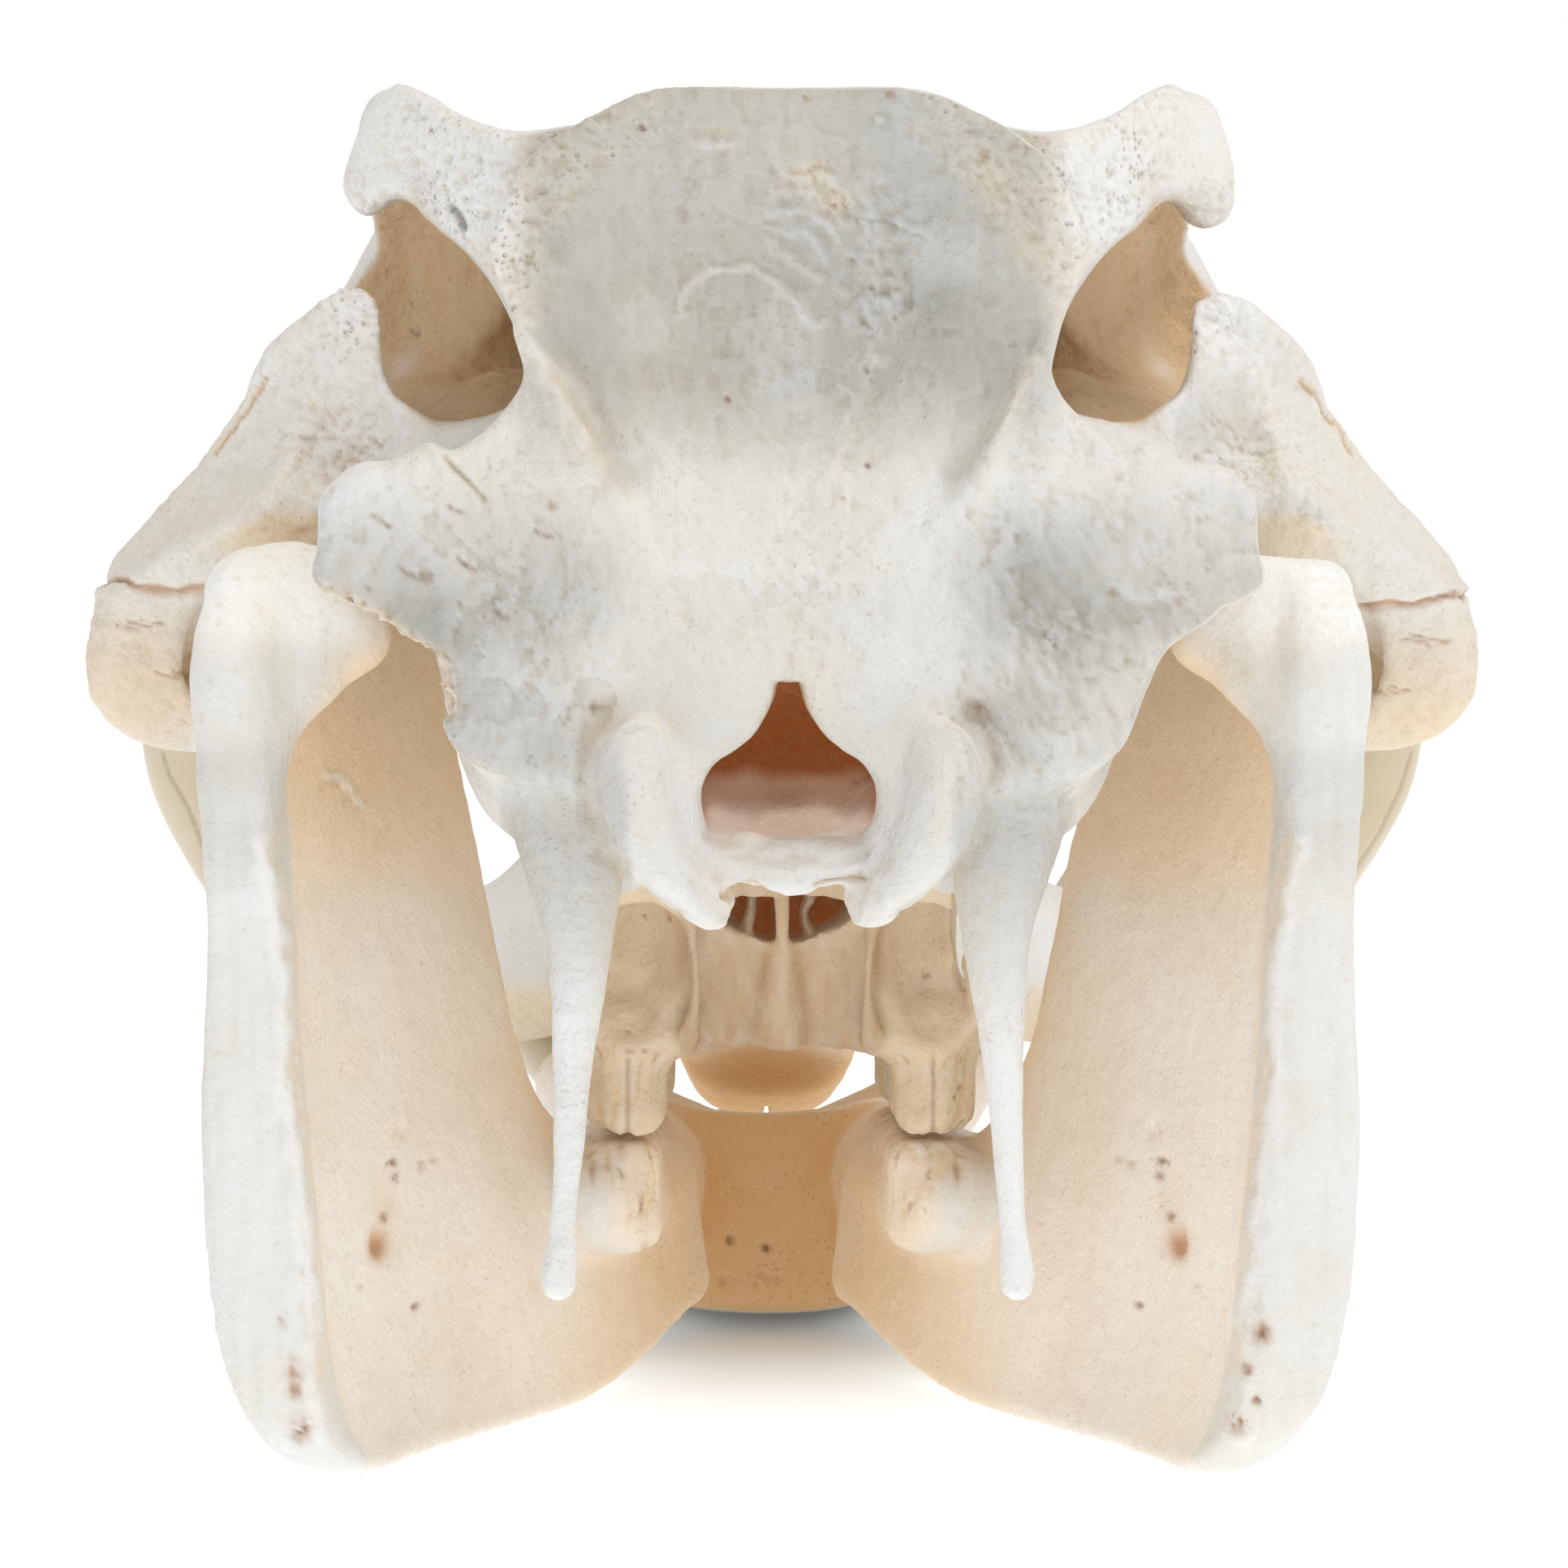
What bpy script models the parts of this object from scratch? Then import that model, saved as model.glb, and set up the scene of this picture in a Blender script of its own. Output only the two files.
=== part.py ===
"""Warthog skull with its lower jaw and tusks, life size, standing on its own jaw.

Modelled in millimetres and written out in metres. X runs across the skull, Y from the back of
the head towards the nose, Z up. The bones are smooth solids described by distances on a grid
of points, built as one half and mirrored, then meshed, thinned out and parted with thin cuts.
"""
import math

import bpy
import numpy as np
import openvdb

# Sizes in millimetres
GRID_STEP = 1.6
PARTING_GAP = 0.3
FAR_AWAY = 60.0
MM = 0.001

SNOUT_CUT_Y = 90.0
OCCIPUT_CUT_Y = 27.0
FOREHEAD_CUT_Z = 184.5
ARCH_INNER_X = 66.0
ARCH_REAR_Y = 43.0
ARCH_TOP_Z = 187.0
PAROCCIPITAL_CUT_Z = 90.0
PAROCCIPITAL_INNER_X = 23.5
CHIN_CUT_Y = 182.0
JAW_SHIFT_X = -1.0

ROOF_HALF_THICKNESS = 5.5
CHEEK_HALF_THICKNESS = 5.2
SEPTUM_HALF_THICKNESS = 1.1
NOSE_SOLID_Y = (122.0, 285.0)
ORBIT_CENTRE = (74.0, 70.0, 184.0)
ORBIT_RADII = (30.0, 20.5, 16.5)
MUZZLE_SQUARENESS = 3.2
CHIN_SQUARENESS = 3.0
MOLAR_COLUMNS = 9
MOLAR_RADIUS = 4.2
MOLAR_BLEND = 2.4
MOLAR_X = 26.0
UPPER_MOLAR_Y = (106.0, 160.0)
LOWER_MOLAR_Y = (108.0, 162.0)
PREMOLAR_COLUMNS = 2
UPPER_PREMOLAR_Y = (170.0, 178.0)
LOWER_PREMOLAR_Y = (171.0, 179.0)
BITE_Z = 45.0
BITE_GAP = 4.5
INCISOR_RADIUS = 2.6
INCISOR_X = (3.6, 9.6, 15.6)

CRANIUM_TRIANGLES = 8700
MANDIBLE_TRIANGLES = 3900
UPPER_TUSK_TRIANGLES = 420
LOWER_TUSK_TRIANGLES = 200

UPPER_TUSK_LINE = [(40, 264, 67), (54, 268, 65), (66, 270, 64.5), (77, 271, 66.5), (90, 271, 73),
                   (101.5, 270, 82.5), (110, 268, 94), (115.5, 265.5, 105), (117, 262.5, 117),
                   (114.5, 259, 131), (109, 256, 143), (102, 253.5, 152)]
UPPER_TUSK_RADII = [12.2, 12.2, 12.1, 11.9, 11.6, 11.0, 10.2, 9.4, 8.2, 6.2, 4.0, 1.0]
# The right tusk reaches a little further out of its socket than the left
UPPER_TUSK_REACH = {1: 1.05, -1: 0.95}
LOWER_TUSK_LINE = [(27, 262, 31), (36, 273, 41), (46, 285, 51), (55, 293, 63), (62, 296, 77), (66, 295, 89)]
LOWER_TUSK_RADII = [7.2, 7.0, 6.4, 5.4, 3.8, 0.8]
# Where each tusk leaves its socket, and which way it points there
UPPER_TUSK_ROOT = ((66.0, 270.0, 64.5), (1.0, 0.0, 0.0))
LOWER_TUSK_ROOT = ((38.5, 276.0, 43.5), (0.54, 0.65, 0.54))
SOCKET_REACH = 24.0
JOINT_GAP = 0.6
TUSK_GAP = 0.7
FAR_BOX = 500.0
SHARP_DEGREES = 50.0

BONE_COLOUR = (0.80, 0.75, 0.66)
JAW_COLOUR = (0.82, 0.74, 0.62)
IVORY_COLOUR = (0.80, 0.68, 0.47)
BONE_ROUGHNESS = 0.62
IVORY_ROUGHNESS = 0.35


def wipe_scene():
    for item in list(bpy.data.objects):
        bpy.data.objects.remove(item)


def smooth_min(a, b, k):
    """The lower of two distances, with the corner rounded over k."""
    h = np.clip(0.5 + 0.5 * (b - a) / k, 0, 1)
    return b + (a - b) * h - k * h * (1 - h)


def smooth_max(a, b, k):
    return -smooth_min(-a, -b, k)


def spline(a, b, c, d, t):
    """Catmull-Rom between b and c."""
    bend = (2 * a - 5 * b + 4 * c - d) * t * t + (3 * b - 3 * c + d - a) * t**3
    return 0.5 * (2 * b + (c - a) * t + bend)


def along(points, per_span):
    """A smooth curve through rows of numbers, with per_span steps between two of them."""
    rows = np.array(points, float)
    rows = np.vstack([2 * rows[0] - rows[1], rows, 2 * rows[-1] - rows[-2]])
    steps = np.arange(per_span) / per_span
    curve = [spline(*rows[i - 1:i + 3], t) for i in range(1, len(rows) - 2) for t in steps]
    return np.array(curve + [rows[-2]])


def ring_through(points, per_span):
    """A smooth closed curve through points."""
    rows = np.array(points, float)
    n = len(rows)
    return np.array([spline(rows[i - 1], rows[i], rows[(i + 1) % n], rows[(i + 2) % n], t)
                     for i in range(n) for t in np.arange(per_span) / per_span])


def graded(at, knots):
    """A value that changes smoothly through (place, value) pairs."""
    curve = along(knots, 8)
    return np.interp(at, curve[:, 0], curve[:, 1]).astype(np.float32)


def bump(u, v, u0, v0, wide, high):
    return np.exp(-(((u - u0) / wide) ** 2) - ((v - v0) / high) ** 2)


def both_sides(half_loop):
    """A closed outline from its half at x >= 0, listed from one end of the middle line to the other."""
    return half_loop + [(-x, v) for x, v in reversed(half_loop) if x > 0]


def turning(rx, ry, rz):
    cx, sx, cy, sy, cz, sz = (f(math.radians(v)) for v in (rx, ry, rz) for f in (math.cos, math.sin))
    about_x = np.array([[1, 0, 0], [0, cx, -sx], [0, sx, cx]])
    about_y = np.array([[cy, 0, sy], [0, 1, 0], [-sy, 0, cy]])
    about_z = np.array([[cz, -sz, 0], [sz, cz, 0], [0, 0, 1]])
    return about_z @ about_y @ about_x


class Shape:
    """A distance function with the box that holds its inside."""

    def __init__(self, low, high, distance):
        self.low, self.high, self.distance = np.array(low, float), np.array(high, float), distance


def ball(centre, radii, turn=(0, 0, 0)):
    c, r = np.array(centre, float), np.array(radii, float)
    m = turning(*turn).T
    reach = np.sqrt(((m.T * r) ** 2).sum(1))

    def distance(x, y, z):
        p = (x - c[0], y - c[1], z - c[2])
        q = [(m[i, 0] * p[0] + m[i, 1] * p[1] + m[i, 2] * p[2]) / r[i] for i in range(3)]
        k0 = np.sqrt(q[0] ** 2 + q[1] ** 2 + q[2] ** 2)
        k1 = np.sqrt((q[0] / r[0]) ** 2 + (q[1] / r[1]) ** 2 + (q[2] / r[2]) ** 2)
        return k0 * (k0 - 1) / np.maximum(k1, 1e-6)

    return Shape(c - reach, c + reach, distance)


def tube(points, radii, squeeze=(1, 1, 1), per_span=4):
    """Round cones along a smooth curve. squeeze stretches the whole shape along the axes."""
    rows = along([list(p) + [r] for p, r in zip(points, radii)], per_span)
    sq = np.array(squeeze, float)
    line, rad = rows[:, :3] / sq, np.maximum(rows[:, 3], 0.2)
    reach = rad.max() * sq

    def distance(x, y, z):
        x, y, z = x / sq[0], y / sq[1], z / sq[2]
        best = None
        for a, b, ra, rb in zip(line[:-1], line[1:], rad[:-1], rad[1:]):
            d = b - a
            length = max(float(d @ d), 1e-9)
            px, py, pz = x - a[0], y - a[1], z - a[2]
            t = np.clip((px * d[0] + py * d[1] + pz * d[2]) / length, 0, 1)
            q = np.sqrt((px - d[0] * t) ** 2 + (py - d[1] * t) ** 2 + (pz - d[2] * t) ** 2)
            q -= ra + (rb - ra) * t
            best = q if best is None else np.minimum(best, q)
        return best * sq.min()

    return Shape(rows[:, :3].min(0) - reach, rows[:, :3].max(0) + reach, distance)


def outline_distance(u, v, loop):
    """Distance in a plane to a closed loop of points, negative inside."""
    u, v = np.broadcast_arrays(u, v)
    best = np.full(u.shape, 1e9, np.float32)
    inside = np.zeros(u.shape, bool)
    for i in range(len(loop)):
        a, b = loop[i], loop[(i + 1) % len(loop)]
        d = b - a
        t = np.clip(((u - a[0]) * d[0] + (v - a[1]) * d[1]) / max(float(d @ d), 1e-9), 0, 1)
        best = np.minimum(best, (u - a[0] - d[0] * t) ** 2 + (v - a[1] - d[1] * t) ** 2)
        if abs(d[1]) > 1e-9:
            inside ^= ((a[1] > v) != (b[1] > v)) & (u < a[0] + (v - a[1]) * d[0] / d[1])
    best = np.sqrt(best)
    return np.where(inside, -best, best).astype(np.float32)


def sheet(axis, loop, mid, half, edge, per_span=5):
    """A curved plate seen along an axis. loop is its outline in the other two axes, mid(u, v) where its
    middle lies along the axis, half(u, v) half its thickness, edge how far its rim is rounded."""
    loop = ring_through(loop, per_span)
    others = [i for i in range(3) if i != axis]
    near, far = loop.min(0), loop.max(0)
    low, high = np.zeros(3), np.zeros(3)
    low[others], high[others] = near, far
    gu, gv = np.meshgrid(np.linspace(near[0], far[0], 24), np.linspace(near[1], far[1], 24), indexing="ij")
    m, h = mid(gu, gv) + 0 * gu, half(gu, gv) + 0 * gu
    low[axis], high[axis] = (m - h).min(), (m + h).max()

    def distance(x, y, z):
        p = (x, y, z)
        u, v, w = p[others[0]], p[others[1]], p[axis]
        m = mid(u, v)
        slope_u, slope_v = mid(u + 1, v) - m, mid(u, v + 1) - m
        lean = np.sqrt(1 + np.clip(slope_u, -3, 3) ** 2 + np.clip(slope_v, -3, 3) ** 2)
        return smooth_max(np.abs(w - m) / lean - half(u, v), outline_distance(u, v, loop), edge)

    return Shape(low, high, distance)


class Solid:
    """A solid held as distances on a grid of points, for its half at x >= 0."""

    def __init__(self, low, high, step):
        self.low, self.step = np.array(low, float), step
        counts = np.ceil((np.array(high, float) - self.low) / step).astype(int) + 1
        self.axes = [(self.low[i] + step * np.arange(counts[i])).astype(np.float32) for i in range(3)]
        self.field = np.full(counts, FAR_AWAY, np.float32)

    def block(self, low, high):
        cut = []
        for i in range(3):
            a = int(math.floor((low[i] - self.low[i]) / self.step))
            b = int(math.ceil((high[i] - self.low[i]) / self.step)) + 1
            cut.append(slice(max(a, 0), max(min(b, len(self.axes[i])), 0)))
        x, y, z = (self.axes[i][cut[i]] for i in range(3))
        return tuple(cut), x[:, None, None], y[None, :, None], z[None, None, :]

    def add(self, shape, blend):
        reach = 2 * blend + 4
        cut, x, y, z = self.block(shape.low - reach, shape.high + reach)
        if self.field[cut].size:
            self.field[cut] = smooth_min(self.field[cut], shape.distance(x, y, z).astype(np.float32), blend)

    def carve(self, shape, blend):
        reach = 2 * blend + 2
        cut, x, y, z = self.block(shape.low - reach, shape.high + reach)
        if self.field[cut].size:
            self.field[cut] = smooth_max(self.field[cut], -shape.distance(x, y, z).astype(np.float32),
                                         blend)

    def mirrored(self):
        """The whole solid from its half, whose first plane of points is x = 0."""
        self.axes[0] = np.concatenate([-self.axes[0][:0:-1], self.axes[0]])
        self.low[0] = self.axes[0][0]
        self.field = np.concatenate([self.field[:0:-1], self.field])
        return self

    def quads(self):
        band = 3 * self.step
        grid = openvdb.FloatGrid(band)
        grid.copyFromArray(np.clip(self.field, -band, band))
        points, faces = grid.convertToQuads(isovalue=0.0)
        return points * self.step + self.low, faces


# Cranium
def roof_top(x, y):
    """Height of the forehead and of the muzzle's upper face."""
    ridge = graded(y, [(-10, 206), (0, 206.5), (20, 205.5), (50, 202.5), (85, 195), (120, 183.5),
                       (160, 169.5), (210, 152), (260, 135), (300, 122), (335, 110), (372, 97)])
    swell = graded(y, [(-10, 0), (0, 0), (20, 4), (42, 12), (60, 12), (80, 7), (96, 3), (120, 0), (140, -2),
                       (200, -3), (372, -3)])
    dip = graded(y, [(-10, 0), (120, 0), (150, 1.0), (300, 1.5), (372, 1.5)]) * np.exp(-((x / 7.0) ** 2))
    return ridge + swell * np.clip(np.abs(x) / 62.0, 0, 1.0) ** 4.0 - dip


def muzzle(x, y, z):
    top = roof_top(x, y)
    bottom = graded(y, [(80, 84), (95, 68), (106, 60), (130, 59), (200, 59), (250, 57), (290, 52),
                        (312, 44), (326, 34), (338, 29.5), (354, 31)])
    wide_top = graded(y, [(80, 52), (100, 48), (130, 39), (170, 32.5), (210, 29), (250, 28), (290, 25),
                          (320, 20), (345, 14.5), (360, 11)])
    wide_base = graded(y, [(80, 28), (100, 29), (130, 31), (170, 30), (210, 31), (250, 35), (290, 32),
                           (315, 26), (335, 21), (352, 18)])
    pinch = graded(y, [(80, 0), (110, 1), (150, 4), (200, 5), (240, 2), (290, 3), (372, 2)])
    mid, half = (top + bottom) / 2, (top - bottom) / 2
    h = np.clip((z - mid) / half, -1.3, 1.3)
    w = wide_base + (wide_top - wide_base) * (h + 1) / 2 - pinch * (1 - h * h)
    n = MUZZLE_SQUARENESS
    reach = ((np.abs(x) / w) ** n + np.abs(h) ** n + 1e-9) ** (1 / n)
    side = (reach - 1) * np.minimum(w, half) * 0.9
    front = 353 - 10 * np.clip((z - 44) / 40, 0, 1) ** 2
    return smooth_max(smooth_max(side, y - front, 5), 86 - y, 6)


def cheek_middle(y, z):
    face = graded(z, [(105, 90), (111, 95.5), (118, 102), (124, 105), (134, 104.3), (139, 101), (144, 96),
                      (151, 89.5), (157, 84), (164, 78.5), (169, 75), (174, 71), (179, 66.5), (186, 61),
                      (196, 57)])
    return face * graded(y, [(20, 0.80), (35, 0.86), (50, 0.95), (64, 1.0), (80, 0.98), (100, 0.88),
                             (118, 0.70), (136, 0.50)])


def nuchal_back(x, z):
    """Where the nuchal plate's rear face lies along y."""
    ax = np.abs(x)
    fan = 13 * bump(x, z, 0, 173, 32, 33)
    rim = -2 * np.clip((z - 192) / 20, 0, 1) ** 2
    wing = 3.0 * np.clip((ax - 40) / 30, 0, 1) - 2.0
    mounds = -2.6 * bump(ax, z, 11, 121, 9, 9)
    aside = ax - 0.57 * (z - 163)
    groove = 2.2 * bump(aside, z, 30.4, 163, 3.8, 16) - 2.0 * bump(aside, z, 35.4, 164, 3.4, 13)
    hollows = 2.0 * bump(ax, z, 44, 156, 8, 8) + 2.0 * bump(ax, z, 28.5, 117.5, 6.5, 5)
    return 2.0 + fan + rim + wing + mounds + groove + hollows


def nuchal_half(x, z):
    return 3.6 + 2.4 * np.clip((60 - np.abs(x)) / 30, 0, 1) * np.clip((190 - z) / 25, 0, 1)


def nasal_passage(x, y, z):
    """The two halves of the nose, with the septum left between them, solid where nothing shows it."""
    centre = graded(y, [(60, 84), (75, 84.5), (110, 104), (160, 105), (260, 92), (300, 84), (330, 76),
                        (372, 72)])
    wide = graded(y, [(60, 11), (75, 12), (100, 14), (160, 17), (260, 18), (310, 16), (340, 15), (372, 16)])
    high = graded(y, [(60, 4.5), (75, 5), (100, 18), (160, 25), (260, 23), (310, 20), (340, 19), (372, 18)])
    hollow = (np.sqrt((x / wide) ** 2 + ((z - centre) / high) ** 2) - 1) * np.minimum(wide, high)
    seen = np.maximum(66 - y, np.minimum(y - NOSE_SOLID_Y[0], NOSE_SOLID_Y[1] - y))
    return smooth_max(np.maximum(hollow, SEPTUM_HALF_THICKNESS - np.abs(x)), seen, 6)


def palate_ramp(x, y, z):
    """The slope from the choanae down to the rear edge of the palate."""
    face = (y - 77) * 0.60 - (82 - z) * 0.80
    wide = np.abs(x) - graded(z, [(50, 33), (62, 31.5), (72, 30), (84, 28), (100, 26)])
    return np.maximum(np.maximum(np.maximum(-face, wide), 59 - z), y - 130)


FORAMEN_HALF = [(0, 123.2), (2.9, 122.9), (3.6, 119.6), (4.7, 116.6), (6.3, 114.0), (8.9, 111.6),
                (11.6, 109.8), (13.5, 107.0), (14.2, 103.8), (13.9, 100.0), (12.8, 96.4), (11.6, 94.4),
                (6.0, 94.0), (0, 94.2)]


# Outline of the opening between the process, the spur and the braincase, seen from behind
TEMPORAL_OPENING = [(62, 196.4), (59, 197.2), (55, 193), (50, 189), (46, 184.2), (42.8, 178.6),
                    (41.2, 173.6), (41, 168.8), (43.6, 164.8), (48.4, 163), (54, 163), (58.2, 164.8),
                    (61.2, 167.4), (62.6, 172), (63, 178), (63.6, 184), (64.4, 191)]


def foramen_tunnel(x, y, z):
    """The foramen magnum: an onion dome run forwards, its floor rising and its roof coming down."""
    lift = 0.55 * np.clip(y + 3, 0, 40) * np.clip((126 - z) / 26, 0, 1)
    flat = outline_distance(x + 0 * y, z - lift + 0 * x, ring_through(both_sides(FORAMEN_HALF), 3))
    widening = 0.25 * np.clip(y - 1, 0, 12) * np.exp(-(((z - 104) / 7) ** 2))
    end = graded(z, [(88, 36), (100, 34), (108, 32), (113, 27), (118, 20), (124, 11), (150, 6)])
    return np.maximum(flat + 0.12 * np.clip(y + 8, 0, 14) - widening, (y - end) * 0.8)


def sunk(y):
    """How far the forehead's plate sinks into the muzzle towards its front end."""
    return 5.0 * np.clip((y - 88) / 58, 0, 1)


def add_braincase(s):
    s.add(ball((0, 62, 160), (40, 42, 44)), 1)
    s.add(ball((0, 74, 128), (30, 42, 36)), 12)
    s.add(Shape((0, 80, 26), (55, 358, 212), muzzle), 9)
    roof_half = [(0, 13), (19, 13), (31, 14), (40, 21), (45, 29), (53, 37), (60, 43), (66, 50), (68, 62),
                 (67, 76), (63, 90), (54, 106), (44, 124), (36, 146), (0, 146)]
    s.add(sheet(2, both_sides(roof_half), lambda x, y: roof_top(x, y) - ROOF_HALF_THICKNESS - sunk(y),
                lambda x, y: ROOF_HALF_THICKNESS + 0 * x, 4), 6)


def orbit_front(x, z):
    """Where the wall ahead of the orbit lies along y."""
    return 99 + 0.30 * np.clip(197 - z, 0, 40) * np.clip((88 - np.abs(x)) / 40, 0, 1)


def add_orbit_walls(s):
    process = [(28, 204), (40, 205.5), (50, 209.5), (56, 213.6), (61, 214.8), (65.5, 211), (68.4, 204),
               (69.2, 199), (66, 195.2), (61.5, 196), (57.5, 194), (53, 190), (48.5, 186), (45, 181),
               (42, 176), (39, 170), (32, 168), (26, 180)]
    sweep = [(20, 14), (30, 16), (40, 20), (50, 29), (60, 39), (72, 47)]
    s.add(sheet(1, process, lambda x, z: graded(np.abs(x), sweep), lambda x, z: 5.4 + 0 * x, 4), 4)
    front_wall = [(16, 182), (42, 186), (55, 187), (63, 186), (69, 182.5), (75, 178), (83, 168), (90, 156),
                  (88, 142), (70, 136), (40, 130), (16, 150)]
    s.add(sheet(1, front_wall, orbit_front, lambda x, z: 6.5 + 0 * x, 6), 6)
    s.add(tube([(57, 84, 187), (50, 101, 178), (41, 121, 166), (31, 148, 151), (26, 170, 143)],
               [11, 14, 15, 13, 9]), 14)
    s.add(tube([(57, 94, 200), (62.3, 96, 196.5), (65.7, 97, 191.5), (69, 96, 185), (74, 92, 176)],
               [3.0, 4.0, 4.2, 4.2, 4.2]), 4)
    s.add(tube([(32, 156, 124), (50, 136, 134), (68, 117, 144), (84, 98, 148)], [13, 15, 15, 12],
               (1, 1, 1.4)), 10)


def add_nuchal_plate(s):
    plate = [(0, 211.4), (19, 211.2), (28, 207.8), (34, 204.6), (40, 199.6), (44.4, 190), (44.6, 186),
             (41.8, 177), (39.6, 169), (43, 163), (49.5, 157.5), (58, 154.6), (66, 152.6),
             (70.2, 149.4), (70.8, 143), (71.4, 136.8), (65.5, 133.4), (62.5, 130.8), (57, 127),
             (53.5, 120), (50, 112), (43, 108), (34, 107), (24, 105), (12, 98), (0, 97)]
    s.add(sheet(1, both_sides(plate), lambda x, z: nuchal_back(x, z) + nuchal_half(x, z), nuchal_half, 2.2,
                4), 6)
    s.add(ball((22, 32, 134), (32, 25, 26)), 10)
    s.add(tube([(26, 24, 150), (46, 28, 150), (62, 33, 150)], [15, 12, 9], (1, 1, 1.15)), 8)


def arch_face(x, z):
    """Where the middle of the spur and of the arch's rear face lies along y."""
    return 32 + 0.5 * (np.abs(x) - 60) + 0.3 * np.clip(np.abs(x) - 72, 0, 40)


def add_arch(s):
    s.add(tube([(58, 36, 150), (73, 46, 149), (86, 56, 144), (98, 67, 135)], [9.5, 9.5, 8.5, 7],
               (1, 1, 1.2)), 6)
    face = [(60.8, 177), (62.6, 180.6), (66, 182.6), (70, 182.4), (75, 178.4), (82, 170.4), (91, 158.6),
            (97.6, 151.2), (103.4, 145), (106, 140.4), (103.6, 136.6), (98, 136), (91, 139.6), (88, 144.2),
            (83, 148), (73, 150.6), (62, 152), (55, 160), (59, 168)]
    s.add(sheet(1, face, arch_face, lambda x, z: 4.4 + 0 * x, 2.0), 3)
    cheek = [(33, 176), (42, 171), (50, 168), (62, 166.5), (78, 167.5), (92, 174), (102, 182), (114, 172),
             (128, 152), (134, 134), (128, 121), (112, 116), (95, 112), (78, 110.5), (64, 113), (55, 121),
             (50, 133), (42, 142), (30, 148), (26, 160)]
    s.add(sheet(0, cheek, cheek_middle, lambda y, z: CHEEK_HALF_THICKNESS + 1.8 * bump(y, z, 68, 122, 25,
                                                                                       14), 4), 5)


def add_skull_base(s):
    base_half = [(0, -3.4), (7, -3.6), (11.5, -2), (14, 8), (14, 30), (13, 60), (13, 92), (0, 92)]
    s.add(sheet(2, both_sides(base_half), lambda x, y: 93.2 + 0.14 * y + 0.010 * x * x, lambda x,
                y: 2.2 + 0.09 * y, 2.4), 4)
    s.add(tube([(20, 3, 104), (17, 14, 104), (12, 34, 106)], [8.5, 10, 10]), 5)
    paroccipital = [(38, 16, 120), (34.5, 14, 108), (32.4, 11.5, 97), (31.8, 9.6, 88), (31.7, 8.9, 79),
                    (32.6, 8.6, 66), (33.2, 8.4, 53.5), (34, 8.6, 41), (34.7, 8.8, 33.5), (34.8, 8.8, 31)]
    s.add(tube(paroccipital, [12, 10, 8.4, 6.0, 4.5, 3.2, 2.5, 2.0, 2.7, 2.6]), 6)
    s.add(tube([(47.5, 22, 126), (46, 23, 114), (42.5, 24, 105), (36, 24, 99)], [5.4, 5.2, 4.8, 4.4],
               (1, 1.6, 1)), 4)
    s.add(ball((26, 38, 99), (8, 14, 10)), 5)
    s.add(Shape((0, 70, 56), (36, 134, 100), palate_ramp), 4)
    s.add(tube([(16.2, 72, 92), (15.2, 74, 85), (14.6, 80, 75), (14.8, 89, 66), (15.8, 100, 61)],
               [1.5, 1.1, 1.1, 1.3, 2.2]), 2)
    s.add(tube([(31, 76, 96), (33, 84, 82), (32, 96, 68)], [2.6, 2.4, 3.6]), 4)
    s.add(tube([(0, 76, 89), (0, 79, 82), (0, 86, 73), (0, 98, 63), (0, 103, 59)],
               [0.8, 1.2, 2.2, 3.6, 3.4], (1.2, 1, 1)), 2.5)
    s.add(ball((0.6, 103, 58.6), (5.2, 4, 2.6)), 1.5)
    s.add(ball((25, 108, 64), (9, 14, 8)), 4)


def add_condyles(s):
    """The two occipital condyles and the bone between them and the foramen magnum."""
    line = [(21.8, 1, 114.8), (23.2, -3, 110.6), (23.2, -5.5, 105.4), (21.2, -6, 98.8), (17.6, -5.5, 92.8),
            (13.0, -4, 88.9), (10.4, -2.5, 87.4)]
    s.add(tube(line, [3.0, 5.4, 5.9, 5.6, 4.4, 2.9, 1.7], (1, 1.4, 1), per_span=6), 1.5)
    s.add(tube([(17.5, 5, 110), (17.2, 3.5, 104), (15.4, 3, 98), (12.2, 2, 93), (9.8, 1.5, 89.5)],
               [3.4, 4.0, 3.8, 2.6, 1.8], (1, 1.7, 1)), 2.0)


def add_snout_forms(s):
    s.add(tube([(24, 250, 80), (38, 260, 71), (50, 267, 66), (61, 269.8, 64.5)], [18, 17.4, 16, 15]), 8)
    s.add(tube([(20, 238, 97), (33, 254, 92), (43, 266, 82), (48, 279, 74)], [9, 8, 6, 4.5]), 7)
    s.add(tube([(7, 290, 114), (7, 325, 104.5), (5.5, 350, 97), (3.0, 366, 92.5)], [5.5, 6, 5, 3.4],
               (1.5, 1, 0.8)), 5)


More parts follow.
